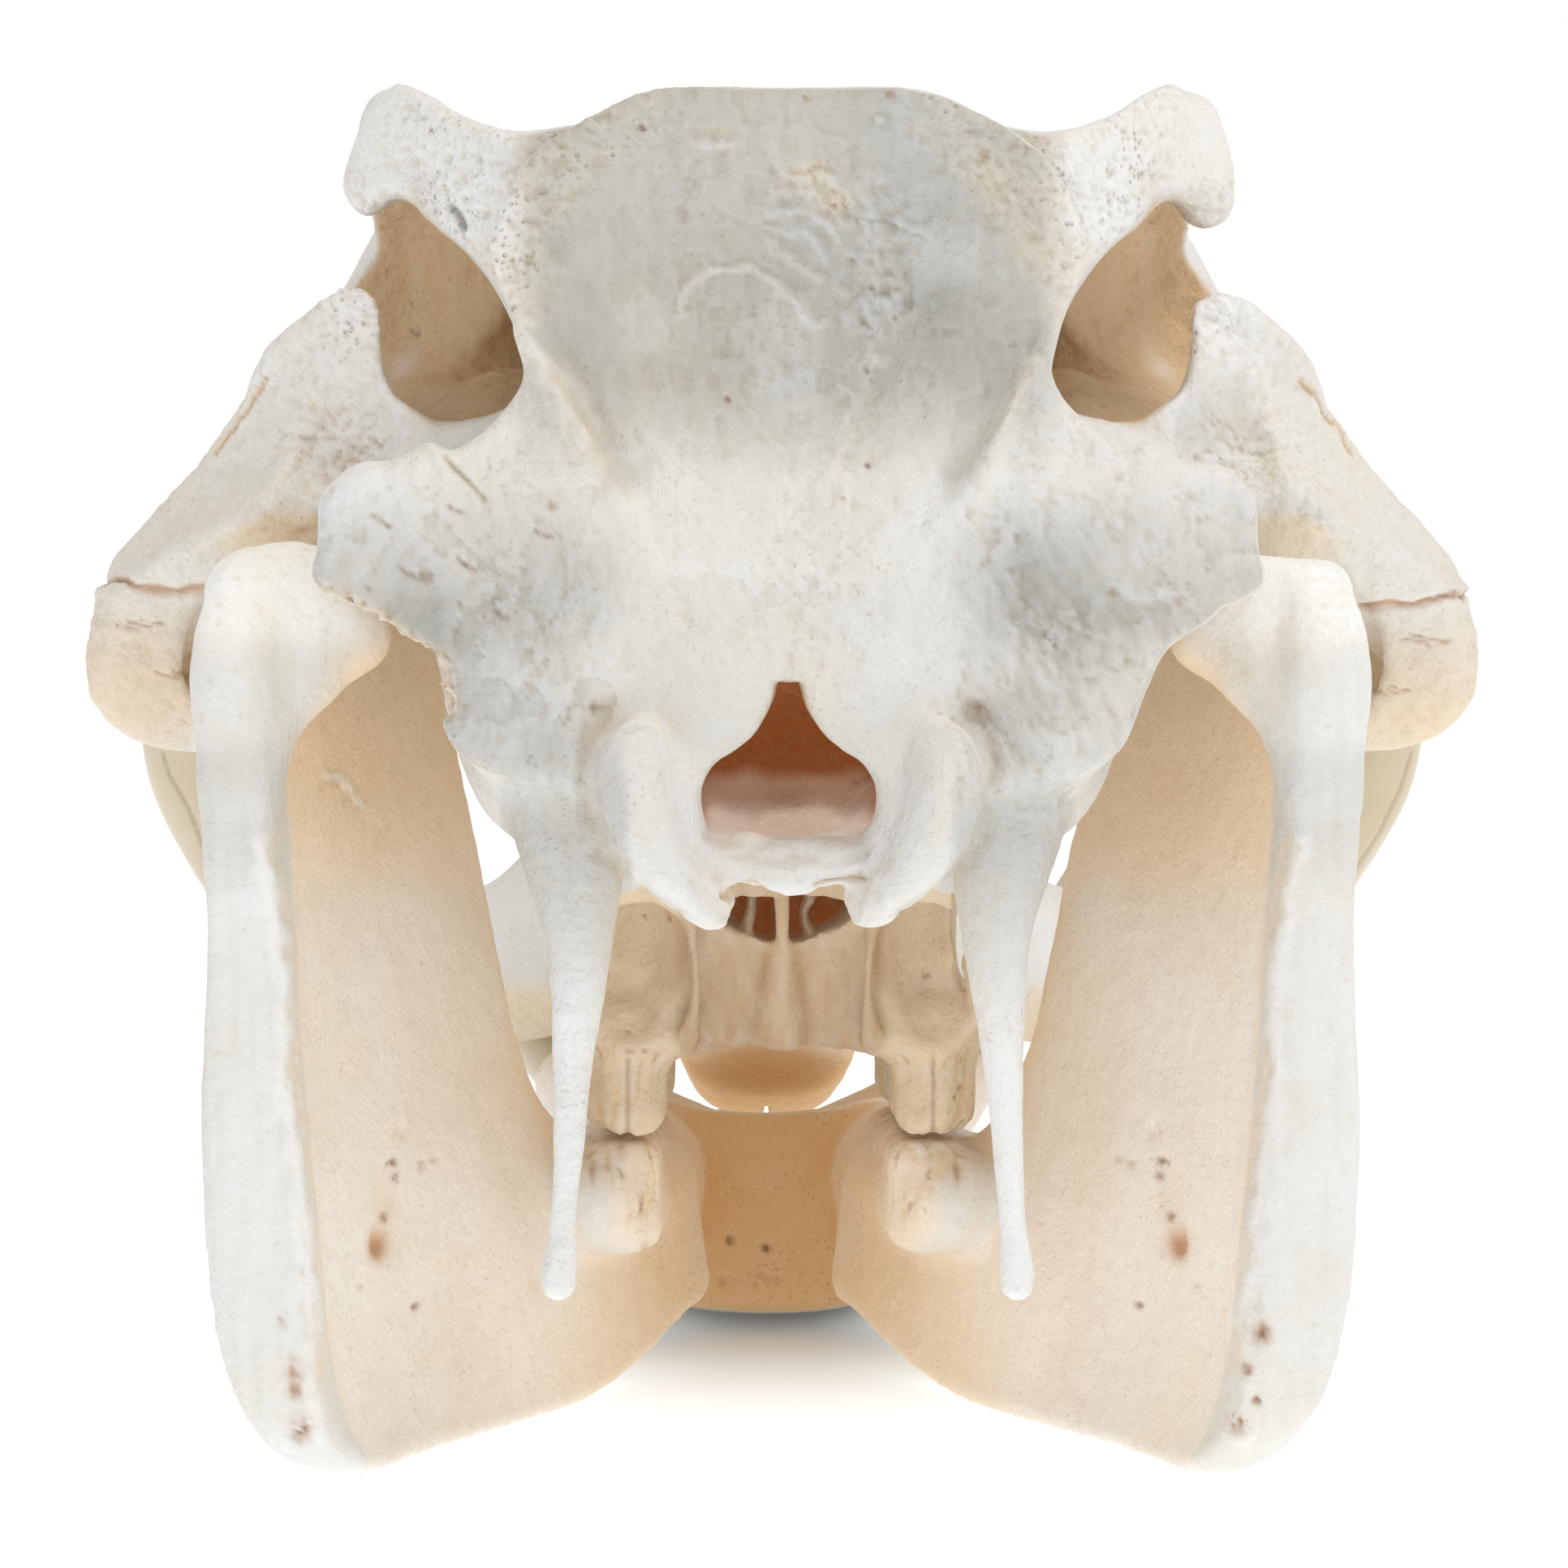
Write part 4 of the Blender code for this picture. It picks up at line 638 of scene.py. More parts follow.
def condyle_forms(extra):
    """The jaw's condyle and its neck, grown by extra."""
    head = tube([(81, 26, 135.2), (73.5, 26.5, 135.4), (66, 28, 129.4)],
                [7.6 + extra, 7.8 + extra, 5.9 + extra])
    lateral = ball((83.4, 21, 122), (7.0 + extra, 9 + extra, 13 + extra))
    middle = ball((75.5, 25, 126.5), (8.5 + extra, 6.5 + extra, 9 + extra))
    neck = tube([(70, 27, 126), (77.5, 22, 119), (82, 16, 107)], [3.5 + extra, 5 + extra, 4.5 + extra])
    return [head, lateral, middle, neck]


def clear_socket(s, root, side):
    """Ends the socket's bone in a flat face where its tusk starts."""
    (px, py, pz), (nx, ny, nz) = root
    low = (min(side * (px - 4), side * (px + 30)), py - SOCKET_REACH, pz - SOCKET_REACH)
    high = (max(side * (px - 4), side * (px + 30)), py + SOCKET_REACH, pz + SOCKET_REACH)
    cut, x, y, z = s.block(low, high)
    beyond = (side * x - px) * nx + (y - py) * ny + (z - pz) * nz
    s.field[cut] = np.maximum(s.field[cut], beyond)


def cranium(step):
    s = Solid((0, -18, 20), (122, 384, 226), step)
    add_braincase(s)
    add_orbit_walls(s)
    add_nuchal_plate(s)
    add_arch(s)
    add_skull_base(s)
    add_snout_forms(s)
    add_condyles(s)
    carve_cranium(s)
    s.add(ball((53, 68, 162), (17, 27, 8), (14, 0, 0)), 6)
    s.add(ball((45, 58, 163), (9, 18, 8), (14, 0, 0)), 6)
    crown = BITE_Z + BITE_GAP
    add_teeth(s, MOLAR_X, UPPER_MOLAR_Y, 66, crown, MOLAR_COLUMNS)
    add_teeth(s, MOLAR_X - 1, UPPER_PREMOLAR_Y, 66, crown, PREMOLAR_COLUMNS)
    add_last_column(s, UPPER_MOLAR_Y[0], 66, crown)
    s.add(tube([(6.5, 340, 36), (6.0, 345, 30), (4.5, 348, 26)], [4.2, 3.6, 2.6]), 1.2)
    s.mirrored()
    for side in (-1, 1):
        for shape in condyle_forms(JOINT_GAP):
            s.carve(on_side(shape, side), 1.5)
        s.carve(on_side(tube(LOWER_TUSK_LINE, [r + TUSK_GAP for r in LOWER_TUSK_RADII], per_span=6), side),
                1.0)
        clear_socket(s, UPPER_TUSK_ROOT, side)
    s.add(tube([(64.6, 43, 210.6), (66.4, 45, 204.5), (66.5, 46, 197.8)], [3.4, 3.9, 4.2]), 3)
    s.carve(ball((68, 30, 190.5), (12, 12, 9.4), (0, 10, 0)), 2)
    for broken in ((-66, 10, 130.5, 4.0), (-61.5, 9, 128.0, 4.6), (-56.5, 8, 124.5, 4.4),
                   (-53.5, 8, 119.5, 3.2)):
        s.carve(ball(broken[:3], (broken[3], 9, broken[3])), 1)
    return s


# Mandible
def ramus_middle(y, z):
    rear = graded(z, [(-5, 68), (0, 70.5), (8, 75), (20, 78.4), (38, 80.2), (60, 81.8), (80, 82.2),
                      (100, 83), (115, 84.2), (130, 84.5), (150, 82)])
    fore = graded(z, [(-5, 36), (5, 38), (20, 41), (40, 42.5), (60, 46.8), (90, 50.6), (120, 54),
                      (145, 57)])
    return rear + (fore - rear) * np.clip((y - 14) / 94.0, 0, 1.7)


def ramus_half(y, z):
    band = graded(z, [(-5, 2.0), (5, 2.4), (20, 3.6), (38, 4.2), (60, 3.6), (80, 2.8), (100, 2.2),
                      (125, 2.0), (150, 2.0)])
    foot = graded(z, [(-5, 4), (15, 3), (40, 1.5), (70, 0.3), (150, 0)]) * np.clip((y - 60) / 50.0, 0, 1.3)
    return 3.0 + band / (1 + (np.abs(y - 12) / 11.5) ** 5) + foot


def chin_block(x, y, z):
    top = graded(y, [(180, 44), (200, 41.5), (225, 38.5), (250, 36.5), (290, 34), (312, 31)])
    top = top + 5 * np.clip(np.abs(x) / 24, 0, 1.2) ** 2
    bottom = graded(y, [(180, 7), (195, 5), (225, 1.2), (250, -0.8), (270, 2.2), (290, 11), (305, 22),
                        (312, 26)])
    w = graded(y, [(180, 23), (205, 24), (240, 29), (265, 33), (285, 31), (300, 27), (312, 22)])
    mid, half = (top + bottom) / 2, (top - bottom) / 2
    n = CHIN_SQUARENESS
    side = (((np.abs(x) / w) ** n + (np.abs(z - mid) / half) ** n + 1e-9) ** (1 / n) - 1) * np.minimum(w,
                                                                                                       half)
    rear = 190 + 6 * np.clip(1 - (x / 20) ** 2, 0, 1) + 0.12 * (z - 20)
    return smooth_max(smooth_max(side, y - 308, 5), rear - y, 4)


def mandible(step):
    s = Solid((0, -4, -6), (104, 330, 160), step)
    ramus = [(20, 140), (14.5, 126), (12.5, 112), (12, 96), (13.5, 84), (13, 66), (11.5, 46), (11, 26),
             (13.5, 10), (19, 2), (28, -1), (45, -1), (75, -1), (105, 0), (130, 4), (150, 9), (165, 14),
             (165, 36), (150, 40), (128, 41), (116, 46), (110, 62), (106, 86), (100, 112), (93, 134),
             (86, 145), (78, 147), (70, 138), (58, 131), (44, 131), (32, 138)]
    s.add(sheet(0, ramus, ramus_middle, ramus_half, 3.4), 4)
    for shape, blend in zip(condyle_forms(0.0), (2, 4, 4, 5)):
        s.add(shape, blend)
    s.add(tube([(50, 96, 20), (41, 118, 21), (33, 145, 22), (27, 170, 24), (22, 195, 25)],
               [15, 16, 15, 14, 14], (0.72, 1, 1.3)), 6)
    s.add(tube([(30, 104, 34), (27, 130, 33), (25, 165, 33), (22, 195, 32)], [8, 9, 9, 9]), 5)
    s.add(Shape((0, 176, -2), (40, 316, 52), chin_block), 6)
    s.carve(ball((0, 266, 49), (15, 44, 11)), 5)
    s.add(tube([(20, 256, 29), (29, 265, 34), (36, 272.5, 41.5)], [11, 10.5, 9.5]), 5)
    s.carve(tube([(60.0, 60, 50), (61.0, 54, 42), (62.4, 47, 33.5)], [0.9, 1.6, 2.1]), 1)
    crown = BITE_Z - BITE_GAP
    add_teeth(s, MOLAR_X, LOWER_MOLAR_Y, 30, crown, MOLAR_COLUMNS)
    add_teeth(s, MOLAR_X - 1, LOWER_PREMOLAR_Y, 30, crown, PREMOLAR_COLUMNS)
    add_last_column(s, LOWER_MOLAR_Y[0], 30, crown)
    for k, across in enumerate(INCISOR_X):
        s.add(tube([(across, 296 - 2 * k, 24), (across * 1.1, 311 - 2.5 * k, 26.5),
                    (across * 1.12, 319 - 3 * k, 28.5)],
                   [INCISOR_RADIUS, INCISOR_RADIUS, INCISOR_RADIUS - 0.6]), 1)
    clear_socket(s, LOWER_TUSK_ROOT, 1)
    s.mirrored()
    s.carve(ball((78, 26, 151), (22, 22, 9.6), (0, 5, 0)), 3)
    return s


def reached(points, root, reach):
    """A tusk's line with its free part stretched sideways out of the socket."""
    start = root[0][0]
    return [(start + max(x - start, 0) * reach + min(x - start, 0), y, z) for x, y, z in points]


def tusk(step, points, radii, root, reach=1.0):
    """A tusk on the right side, flat where it meets its socket."""
    points = reached(points, root, reach)
    margin = max(radii) + 2
    low = [min(p[i] for p in points) - margin for i in range(3)]
    high = [max(p[i] for p in points) + margin for i in range(3)]
    s = Solid(low, high, step)
    s.add(tube(points, radii, per_span=6), 1)
    (px, py, pz), (nx, ny, nz) = root
    x, y, z = s.axes[0][:, None, None], s.axes[1][None, :, None], s.axes[2][None, None, :]
    s.field = np.maximum(s.field, PARTING_GAP - (x - px) * nx - (y - py) * ny - (z - pz) * nz)
    return s


# Noise
def lattice(ix, iy, iz, seed):
    """A repeatable number from 0 to 1 for each whole-number place."""
    n = (ix * HASH_PRIMES[0]) ^ (iy * HASH_PRIMES[1]) ^ (iz * HASH_PRIMES[2]) ^ (seed * HASH_PRIMES[3])
    n = ((n ^ (n >> 13)) * HASH_SPREAD) & 0xFFFFFFFF
    return (((n ^ (n >> 15)) & 0xFFFF) / 65535.0).astype(np.float32)


def corners(f):
    """Each corner of a grid cell, with its share at the places f inside the cell."""
    for dx in (0, 1):
        for dy in (0, 1):
            for dz in (0, 1):
                shares = [f[:, i] if d else 1 - f[:, i] for i, d in enumerate((dx, dy, dz))]
                yield dx, dy, dz, shares[0] * shares[1] * shares[2]


def smooth_noise(p, size, seed):
    """Noise from -1 to 1 that changes over size millimetres (one number, or one for each axis)."""
    q = p / np.array(size, float)
    cell = np.floor(q).astype(np.int64)
    f = (q - cell).astype(np.float32)
    total = np.zeros(len(p), np.float32)
    for dx, dy, dz, share in corners(f * f * (3 - 2 * f)):
        total += share * lattice(cell[:, 0] + dx, cell[:, 1] + dy, cell[:, 2] + dz, seed)
    return 2 * total - 1


def rough_noise(p, size, octaves, seed):
    size = np.array(size, float)
    total, weight = 0, 0
    for k in range(octaves):
        total = total + smooth_noise(p, size / 2.0**k, seed + 17 * k) * 0.55**k
        weight += 0.55**k
    return total / weight


def ridged(p, size, octaves, seed):
    """Noise with sharp crests, from about -1 to 1."""
    return 1 - 3.2 * np.abs(rough_noise(p, size, octaves, seed))


def wrinkle(p, size, seed):
    """Thin curly lines: 1 on a line and 0 between them."""
    return np.clip(1 - 4.5 * np.abs(rough_noise(p, size, 2, seed)), 0, 1)


def flow(p, slant, long, wide, octaves, seed):
    """Noise drawn out along lines on the back of the skull. slant is their run outwards for each step up."""
    outward = np.abs(p[:, 0])
    scale = 1 / math.hypot(1.0, slant)
    lengthwise = (p[:, 2] + slant * outward) * scale
    across = (outward - slant * p[:, 2]) * scale
    q = np.stack([across + FAR_SIDE * (p[:, 0] < 0), p[:, 1], lengthwise], 1)
    return rough_noise(q, (wide, long, long), octaves, seed)


def pits(p, size, seed, share):
    """Round pits in a share of cells of size millimetres: 1 at a pit's middle and 0 outside."""
    q = p / np.array(size, float)
    cell = np.floor(q).astype(np.int64)
    best = np.zeros(len(p), np.float32)
    for dx in (-1, 0, 1):
        for dy in (-1, 0, 1):
            for dz in (-1, 0, 1):
                c = (cell[:, 0] + dx, cell[:, 1] + dy, cell[:, 2] + dz)
                d = np.zeros(len(p), np.float32)
                for i in range(3):
                    d += (q[:, i] - c[i] - 0.2 - 0.6 * lattice(*c, seed + 3 + i)) ** 2
                wide = 0.2 + 0.3 * lattice(*c, seed + 9)
                there = lattice(*c, seed + 21) < share
                best = np.maximum(best, np.where(there, 1 - np.sqrt(d) / wide, 0))
    return np.clip(best, 0, 1)


def specks(p, size, seed, share):
    """Sparse round specks, sharper than pits."""
    return step_up(pits(p, size, seed, share), 0.35, 0.7)


def step_up(value, low, high):
    """0 up to low and 1 from high on, with a smooth step between them."""
    t = np.clip((value - low) / (high - low), 0, 1)
    return t * t * (3 - 2 * t)


def under(value, limit, soft):
    """0 from limit on and 1 where the value is at least soft below it."""
    return step_up(limit - value, 0, soft)


def only(where, function, points, *rest):
    """The function's values where the mask is above nothing, else 0."""
    out = np.zeros(len(points), np.float32)
    chosen = where > 0.003
    if chosen.any():
        out[chosen] = function(points[chosen], *rest) * where[chosen]
    return out


def squared_gap(u, v, a, b):
    """The squared distance in a plane from each place to the stretch from a to b."""
    d = b - a
    t = np.clip(((u - a[0]) * d[0] + (v - a[1]) * d[1]) / max(float(d @ d), 1e-9), 0, 1)
    return (u - a[0] - d[0] * t) ** 2 + (v - a[1] - d[1] * t) ** 2


def stroke(u, v, line, width):
    """1 along a line drawn in a plane, fading over width."""
    rows = np.array(line, float)
    reach = 3 * width
    near = (u > rows[:, 0].min() - reach) & (u < rows[:, 0].max() + reach)
    near &= (v > rows[:, 1].min() - reach) & (v < rows[:, 1].max() + reach)
    found = np.full(near.sum(), 1e9, np.float32)
    for a, b in zip(rows[:-1], rows[1:]):
        found = np.minimum(found, squared_gap(u[near], v[near], a, b))
    out = np.zeros(len(u), np.float32)
    out[near] = np.exp(-found / width**2)
    return out


def spot(p, centre, radii):
    """1 in the middle of an egg-shaped place, fading to 0 at about its edge."""
    d = (((p - np.array(centre, float)) / np.array(radii, float)) ** 2).sum(1)
    return np.exp(-1.6 * d).astype(np.float32)


def pair(side, points):
    """Places given for the right side, on the right (1) or on the left (-1)."""
    return [(side * a, b) for a, b in points]


def grid_value(field, low, step, points):
    """What a grid holds at any places, taken between its own."""
    q = (points - low) / step
    cell = np.clip(np.floor(q).astype(np.int32), 0, np.array(field.shape) - 2)
    total = 0
    for dx, dy, dz, share in corners(np.clip(q - cell, 0, 1)):
        total = total + share * field[cell[:, 0] + dx, cell[:, 1] + dy, cell[:, 2] + dz]
    return total


class Crowd:
    """How much bone there is around a place, on a coarse grid: it tells where light reaches, for the painted
    shade between bones.
    """

    def __init__(self, solids):
        self.low = np.array(CROWD_LOW, float)
        counts = np.ceil((np.array(CROWD_HIGH) - self.low) / CROWD_STEP).astype(int)
        filled = np.zeros(counts, np.float32)
        for solid, shift in solids:
            index = []
            for i in range(3):
                at = self.low[i] + CROWD_STEP * np.arange(counts[i]) - (shift if i == 0 else 0)
                nearest = np.round((at - solid.low[i]) / solid.step).astype(int)
                index.append(np.clip(nearest, 0, solid.field.shape[i] - 1))
            filled = np.maximum(filled, (solid.field[np.ix_(*index)] < 0).astype(np.float32))
        for axis in (0, 0, 1, 1, 2, 2):
            filled = self.averaged(filled, axis, CROWD_REACH)
        self.share = filled

    @staticmethod
    def averaged(field, axis, reach):
        margins = [(reach + 1, reach) if i == axis else (0, 0) for i in range(3)]
        total = np.cumsum(np.pad(field, margins, "edge"), axis)
        width = 2 * reach + 1
        ahead = np.take(total, np.arange(width, total.shape[axis]), axis)
        behind = np.take(total, np.arange(0, total.shape[axis] - width), axis)
        return (ahead - behind) / width

    def at(self, points):
        return grid_value(self.share, self.low, CROWD_STEP, points)


# Meshes
class Piece:
    """A closed mesh in the forms' millimetres, with its normals and how hollow each point's place is."""

    def __init__(self, solid):
        self.points, self.faces = solid.quads()
        self.points = self.points.astype(np.float32)
        self.normals = self.slope(solid)
        lifted = grid_value(solid.field, solid.low, solid.step, self.points + self.normals * OPEN_REACH)
        self.hollow = np.clip(1 - lifted / OPEN_REACH, 0, 1)

    def slope(self, solid):
        columns = []
        for i in range(3):
            offset = np.zeros(3, np.float32)
            offset[i] = solid.step
            ahead, back = (grid_value(solid.field, solid.low, solid.step, p)
                           for p in (self.points + offset, self.points - offset))
            columns.append(ahead - back)
        n = np.stack(columns, 1)
        return n / np.maximum(np.linalg.norm(n, axis=1, keepdims=True), 1e-6)

    def mirror(self):
        flip = np.array([-1, 1, 1], np.float32)
        self.points, self.normals, self.faces = self.points * flip, self.normals * flip, self.faces[:, ::-1]


def written(name, piece, surface, material, offset=0.0):
    """The piece as a Blender mesh in metres, moved sideways by offset, with its relief and colour masks."""
    p = piece.points + piece.normals * surface.relief[:, None]
    world = (p + np.array((offset, 0, 0)) + MODEL_SHIFT) * MM
    mesh = bpy.data.meshes.new(name)
    mesh.vertices.add(len(world))
    mesh.vertices.foreach_set("co", world.astype(np.float32).ravel())
    mesh.loops.add(piece.faces.size)
    mesh.loops.foreach_set("vertex_index", piece.faces.astype(np.int32).ravel())
    mesh.polygons.add(len(piece.faces))
    mesh.polygons.foreach_set("loop_start", np.arange(0, piece.faces.size, 4, dtype=np.int32))
    mesh.update(calc_edges=True)
    for layer, values in surface.masks().items():
        attribute = mesh.attributes.new(layer, "FLOAT_COLOR", "POINT")
        attribute.data.foreach_set("color", np.stack(values, 1).astype(np.float32).ravel())
    mesh.polygons.foreach_set("use_smooth", [True] * len(mesh.polygons))
    mesh.materials.append(material)
    item = bpy.data.objects.new(name, mesh)
    bpy.context.scene.collection.objects.link(item)
    return item


# Bone surfaces
class Surface:
    """The relief and the colour masks of a piece, which its features are marked on one by one."""

    def __init__(self, piece):
        self.p, self.hollow, self.faces = piece.points, piece.hollow, piece.faces
        self.x, self.y, self.z = self.p[:, 0], self.p[:, 1], self.p[:, 2]
        self.ax = np.abs(self.x)
        self.outward = piece.normals[:, 0] * np.sign(self.x)
        self.rearward, self.upward = -piece.normals[:, 1], piece.normals[:, 2]
        self.relief = 0.20 * self.noise(9.0, 3, 5) + 0.09 * self.noise(2.4, 2, 31)
        self.tones = {tone: np.zeros(len(self.p), np.float32) for tone in TONES}

    def noise(self, size, octaves, seed):
        return rough_noise(self.p, size, octaves, seed)

    def mark(self, where, rise=0.0, clean=0.0, **tones):
        """Raises or sinks the surface, washes it clean, and tints it with stains and with painted light and
        shade, as far as where says.
        """
        self.relief += rise * where
        if clean:
            for tone in ("warm", "grey", "yellow"):
                self.tones[tone] *= 1 - clean * np.clip(where, 0, 1)
        for tone, strength in tones.items():
            self.tones[tone] = np.maximum(self.tones[tone], strength * where)

    def dot(self, centre, radii, rise=0.0, **tones):
        self.mark(self.spot(centre, radii), rise, **tones)

    def texture(self, where, rise, function, *settings, **tones):
        self.mark(only(where, function, self.p, *settings), rise, **tones)

    def line(self, points, width, rise, deepest=30, wobble=0.0, **tones):
        self.mark(self.behind(points, width, deepest, wobble), rise, **tones)

    def shaken(self, wobble, seed):
        return wobble * smooth_noise(self.p, 3.0, seed) if wobble else 0

    def behind(self, line, width, deepest=30, wobble=0.0):
        """A line drawn on the back of the skull, as x and z."""
        shift = self.shaken(wobble, 83)
        return stroke(self.x + shift, self.z + shift, line, width) * under(self.y, deepest, 4)

    def above(self, line, width, wobble):
        """A line drawn on the top of the skull, as x and y."""
        shift = self.shaken(wobble, 89)
        return stroke(self.x + shift, self.y + shift, line, width) * step_up(self.upward, 0.2, 0.5)

    def beside(self, line, width, wobble):
        """A line drawn on both outer sides of the skull, as y and z."""
        shift = self.shaken(wobble, 97)
        return stroke(self.y + shift, self.z + shift, line, width) * step_up(self.outward, 0.2, 0.5)

    def spot(self, centre, radii):
        return spot(self.p, centre, radii)

    def peel(self, where, size, drop, seed, bias=0.0, **tones):
        """Takes thin flakes off: their edges are steps along the noise's contours."""
        lost = step_up(only(where, rough_noise, self.p, size, 4, seed) + bias * where, 0.05, 0.12)
        self.mark(lost, -drop, **tones)

    def lowness(self, reach):
        """How far each point lies below what is around it, in millimetres."""
        ends = self.faces.ravel()
        shares = 4.0 * np.bincount(ends, minlength=len(self.relief))
        level = self.relief
        for _ in range(reach):
            sums = np.repeat(level[self.faces].sum(1), 4)
            level = np.bincount(ends, sums, len(self.relief)) / shares
        return level - self.relief

    def masks(self):
        kept = [np.clip(self.tones[tone], 0, 1) for tone in TONES]
        fine, broad = self.lowness(1) / FINE_CREASE, self.lowness(6) / BROAD_CREASE
        fold = CREASE_SHARE * fine + CREASE_SHARE * broad
        # low is painted shade in the creases and high a painted highlight on the crests
        low, high, none = np.clip(fold, 0, 1), np.clip(-fold, 0, 1), np.zeros(len(self.p), np.float32)
        # The "stain" layer carries painted shade and bounce light besides real stains, and "skin" carries the
        # painted glow
        return {"stain": kept[:4], "skin": kept[4:], "fold": [low, high, none, none]}


def painted_shade_between(piece, crowd, shift=0.0):
    """Painted shade: from 0 on open bone to 1 deep between bones."""
    around = piece.points + CROWD_LOOK * piece.normals + np.array([shift, 0, 0])
    return step_up(crowd.at(around), 0.10, 0.42)


def mark_fan(s, rear):
    """The broad plate at the back of the head: porous rim, peeled patches, sutures and ridges."""
    depth = (1 - np.sqrt((s.x / 43.0) ** 2 + ((s.z - 170.0) / 42.0) ** 2)) * 42.0
    edge = 7.5 + 3.5 * smooth_noise(s.p, 9.0, 40)
    rim = rear * step_up(s.z, 156, 182) * step_up(edge - depth, -1, 7) * step_up(s.ax, 8, 28)
    s.texture(rim, -0.22, pits, (2.3, 2.6, 2.0), 41, 0.35, warm=0.2)
    s.texture(rim, 0.30, ridged, (2.6, 2.6, 2.2), 3, 43, warm=0.15)
    s.mark(rim * (0.8 + 0.4 * smooth_noise(s.p, 6.0, 117)), warm=0.36, pores=0.7)
    plain = rear * step_up(s.z, 118, 126)
    s.texture(plain, 0.22, flow, 0.12, 7.0, 2.2, 3, 53)
    s.texture(plain, 0.13, ridged, (5.0, 5.0, 7.0), 2, 54)
    upper = plain * step_up(s.z, 145, 172) * under(s.ax, 46, 10)
    # The fan's upper part is painted grey: the bone's own grey and painted shade where it turns down from the
    # light
    s.mark(upper * (0.87 + 0.22 * s.noise(22, 2, 61)), grey=1.0)
    s.peel(upper, (11.0, 11.0, 14.0), 0.28, 110)
    s.peel(plain, (5.0, 5.0, 7.0), 0.16, 111, -0.05)
    s.mark(upper * step_up(smooth_noise(s.p, 11.0, 62), 0.1, 0.6) * step_up(depth, 4, 12), clean=0.25)
    s.texture(plain, -0.25, specks, 4.6, 45, 0.05, amber=0.30, dark=0.10)
    mark_peeled_arcs(s)
    mark_lesions(s)
    for x, z in ((15.2, 184.1), (-21.8, 205.2), (-9, 165), (12, 155)):
        s.mark(s.spot((x, 8, z), (0.55, 20, 0.55)) * rear, -0.3, dark=0.5, amber=0.5)
    suture = [(8.6, 168), (9.6, 161.7), (7.6, 155.5), (9.2, 149.3), (8.4, 142)]
    s.line(suture, 0.6, 0.24, wobble=1.8, clean=0.2)
    s.line([(-7, 166), (-4.5, 161), (-1, 157), (1, 151)], 0.5, 0.22, wobble=1.0)
    middle = s.spot((3, 8, 140), (9, 20, 22))
    s.texture(middle, 0.28, ridged, (3.4, 3.4, 5.0), 3, 44)
    s.texture(middle, -0.4, pits, (2.4, 2.4, 4.2), 46, 0.25, warm=0.25)
    s.dot((4, 8, 122), (5, 20, 9), clean=0.6, yellow=0.10)
    left_ridge = [(-40.5, 174.5), (-37.6, 171), (-34.4, 166), (-29.0, 155.7), (-23.4, 147.5)]
    right_ridge = [(36, 170), (33.6, 163), (31.6, 156), (28, 146)]
    # The ridges are washed lighter as a painted highlight, and the bands beside them painted grey as shade in
    # the grooves
    s.line(left_ridge, 1.8, 0.55, wobble=0.8, clean=0.6, yellow=0.10)
    s.line([(-33, 168), (-28.5, 160.5), (-25, 154)], 4.5, -0.35, wobble=1.5, warm=0.12, grey=0.6)
    s.line([(32.4, 163.4), (26.2, 154.5)], 4.5, -0.4, wobble=1.5, warm=0.15, grey=0.6)
    s.line(right_ridge, 1.8, 0.55, wobble=0.8, clean=0.3, yellow=0.12)


def mark_peeled_arcs(s):
    """The raised edge of the large peeled patch and the five short arcs above it."""
    crest = [(-16, 178), (-15, 182), (-11.7, 184.4), (-6, 184.3), (1.4, 180.6), (4.2, 176.3)]
    outside = [(-16.8, 178), (-15.8, 183), (-11.7, 185.7), (-6, 185.6), (1.4, 181.9)]
    s.line(crest, 0.8, 0.28, wobble=1.2, clean=0.3)
    s.line(outside, 0.7, -0.2, wobble=1.2)
    for k in range(5):
        low = 182.5 + 2.9 * k
        arc = [(-4 + k, low + 5.6), (0.5 + k, low + 4.0), (4 + 1.2 * k, low)]
        s.line(arc, 0.7, 0.26, wobble=1.3, clean=0.2)


def mark_lesions(s):
    """The rough places right of the middle, the shallow ulcer above them and the nick beside it."""
    lesions = s.spot((15, 14, 192), (8, 14, 7)) + s.spot((13.5, 14, 179.5), (6, 14, 8))
    lesions += s.spot((13, 14, 170), (3, 14, 4))
    s.texture(lesions, 0.42, ridged, 3.6, 3, 47, clean=0.3)
    s.peel(lesions, 4.6, 0.5, 112, 0.05, warm=0.10)
    ulcer = s.spot((3.2, 12, 198.4), (5.5, 12, 3.2)) + s.spot((7, 12, 194.4), (3.5, 12, 2.6))
    s.mark(ulcer, -0.7, warm=0.6)
    s.texture(ulcer, -0.6, wrinkle, 2.6, 48, amber=0.35)
    s.dot((-11.5, 6, 204.6), (3.4, 9, 1.1), -0.5, dark=0.10, warm=0.5)
    s.dot((-11, 6, 202.8), (3.4, 9, 0.8), 0.35, clean=0.4)


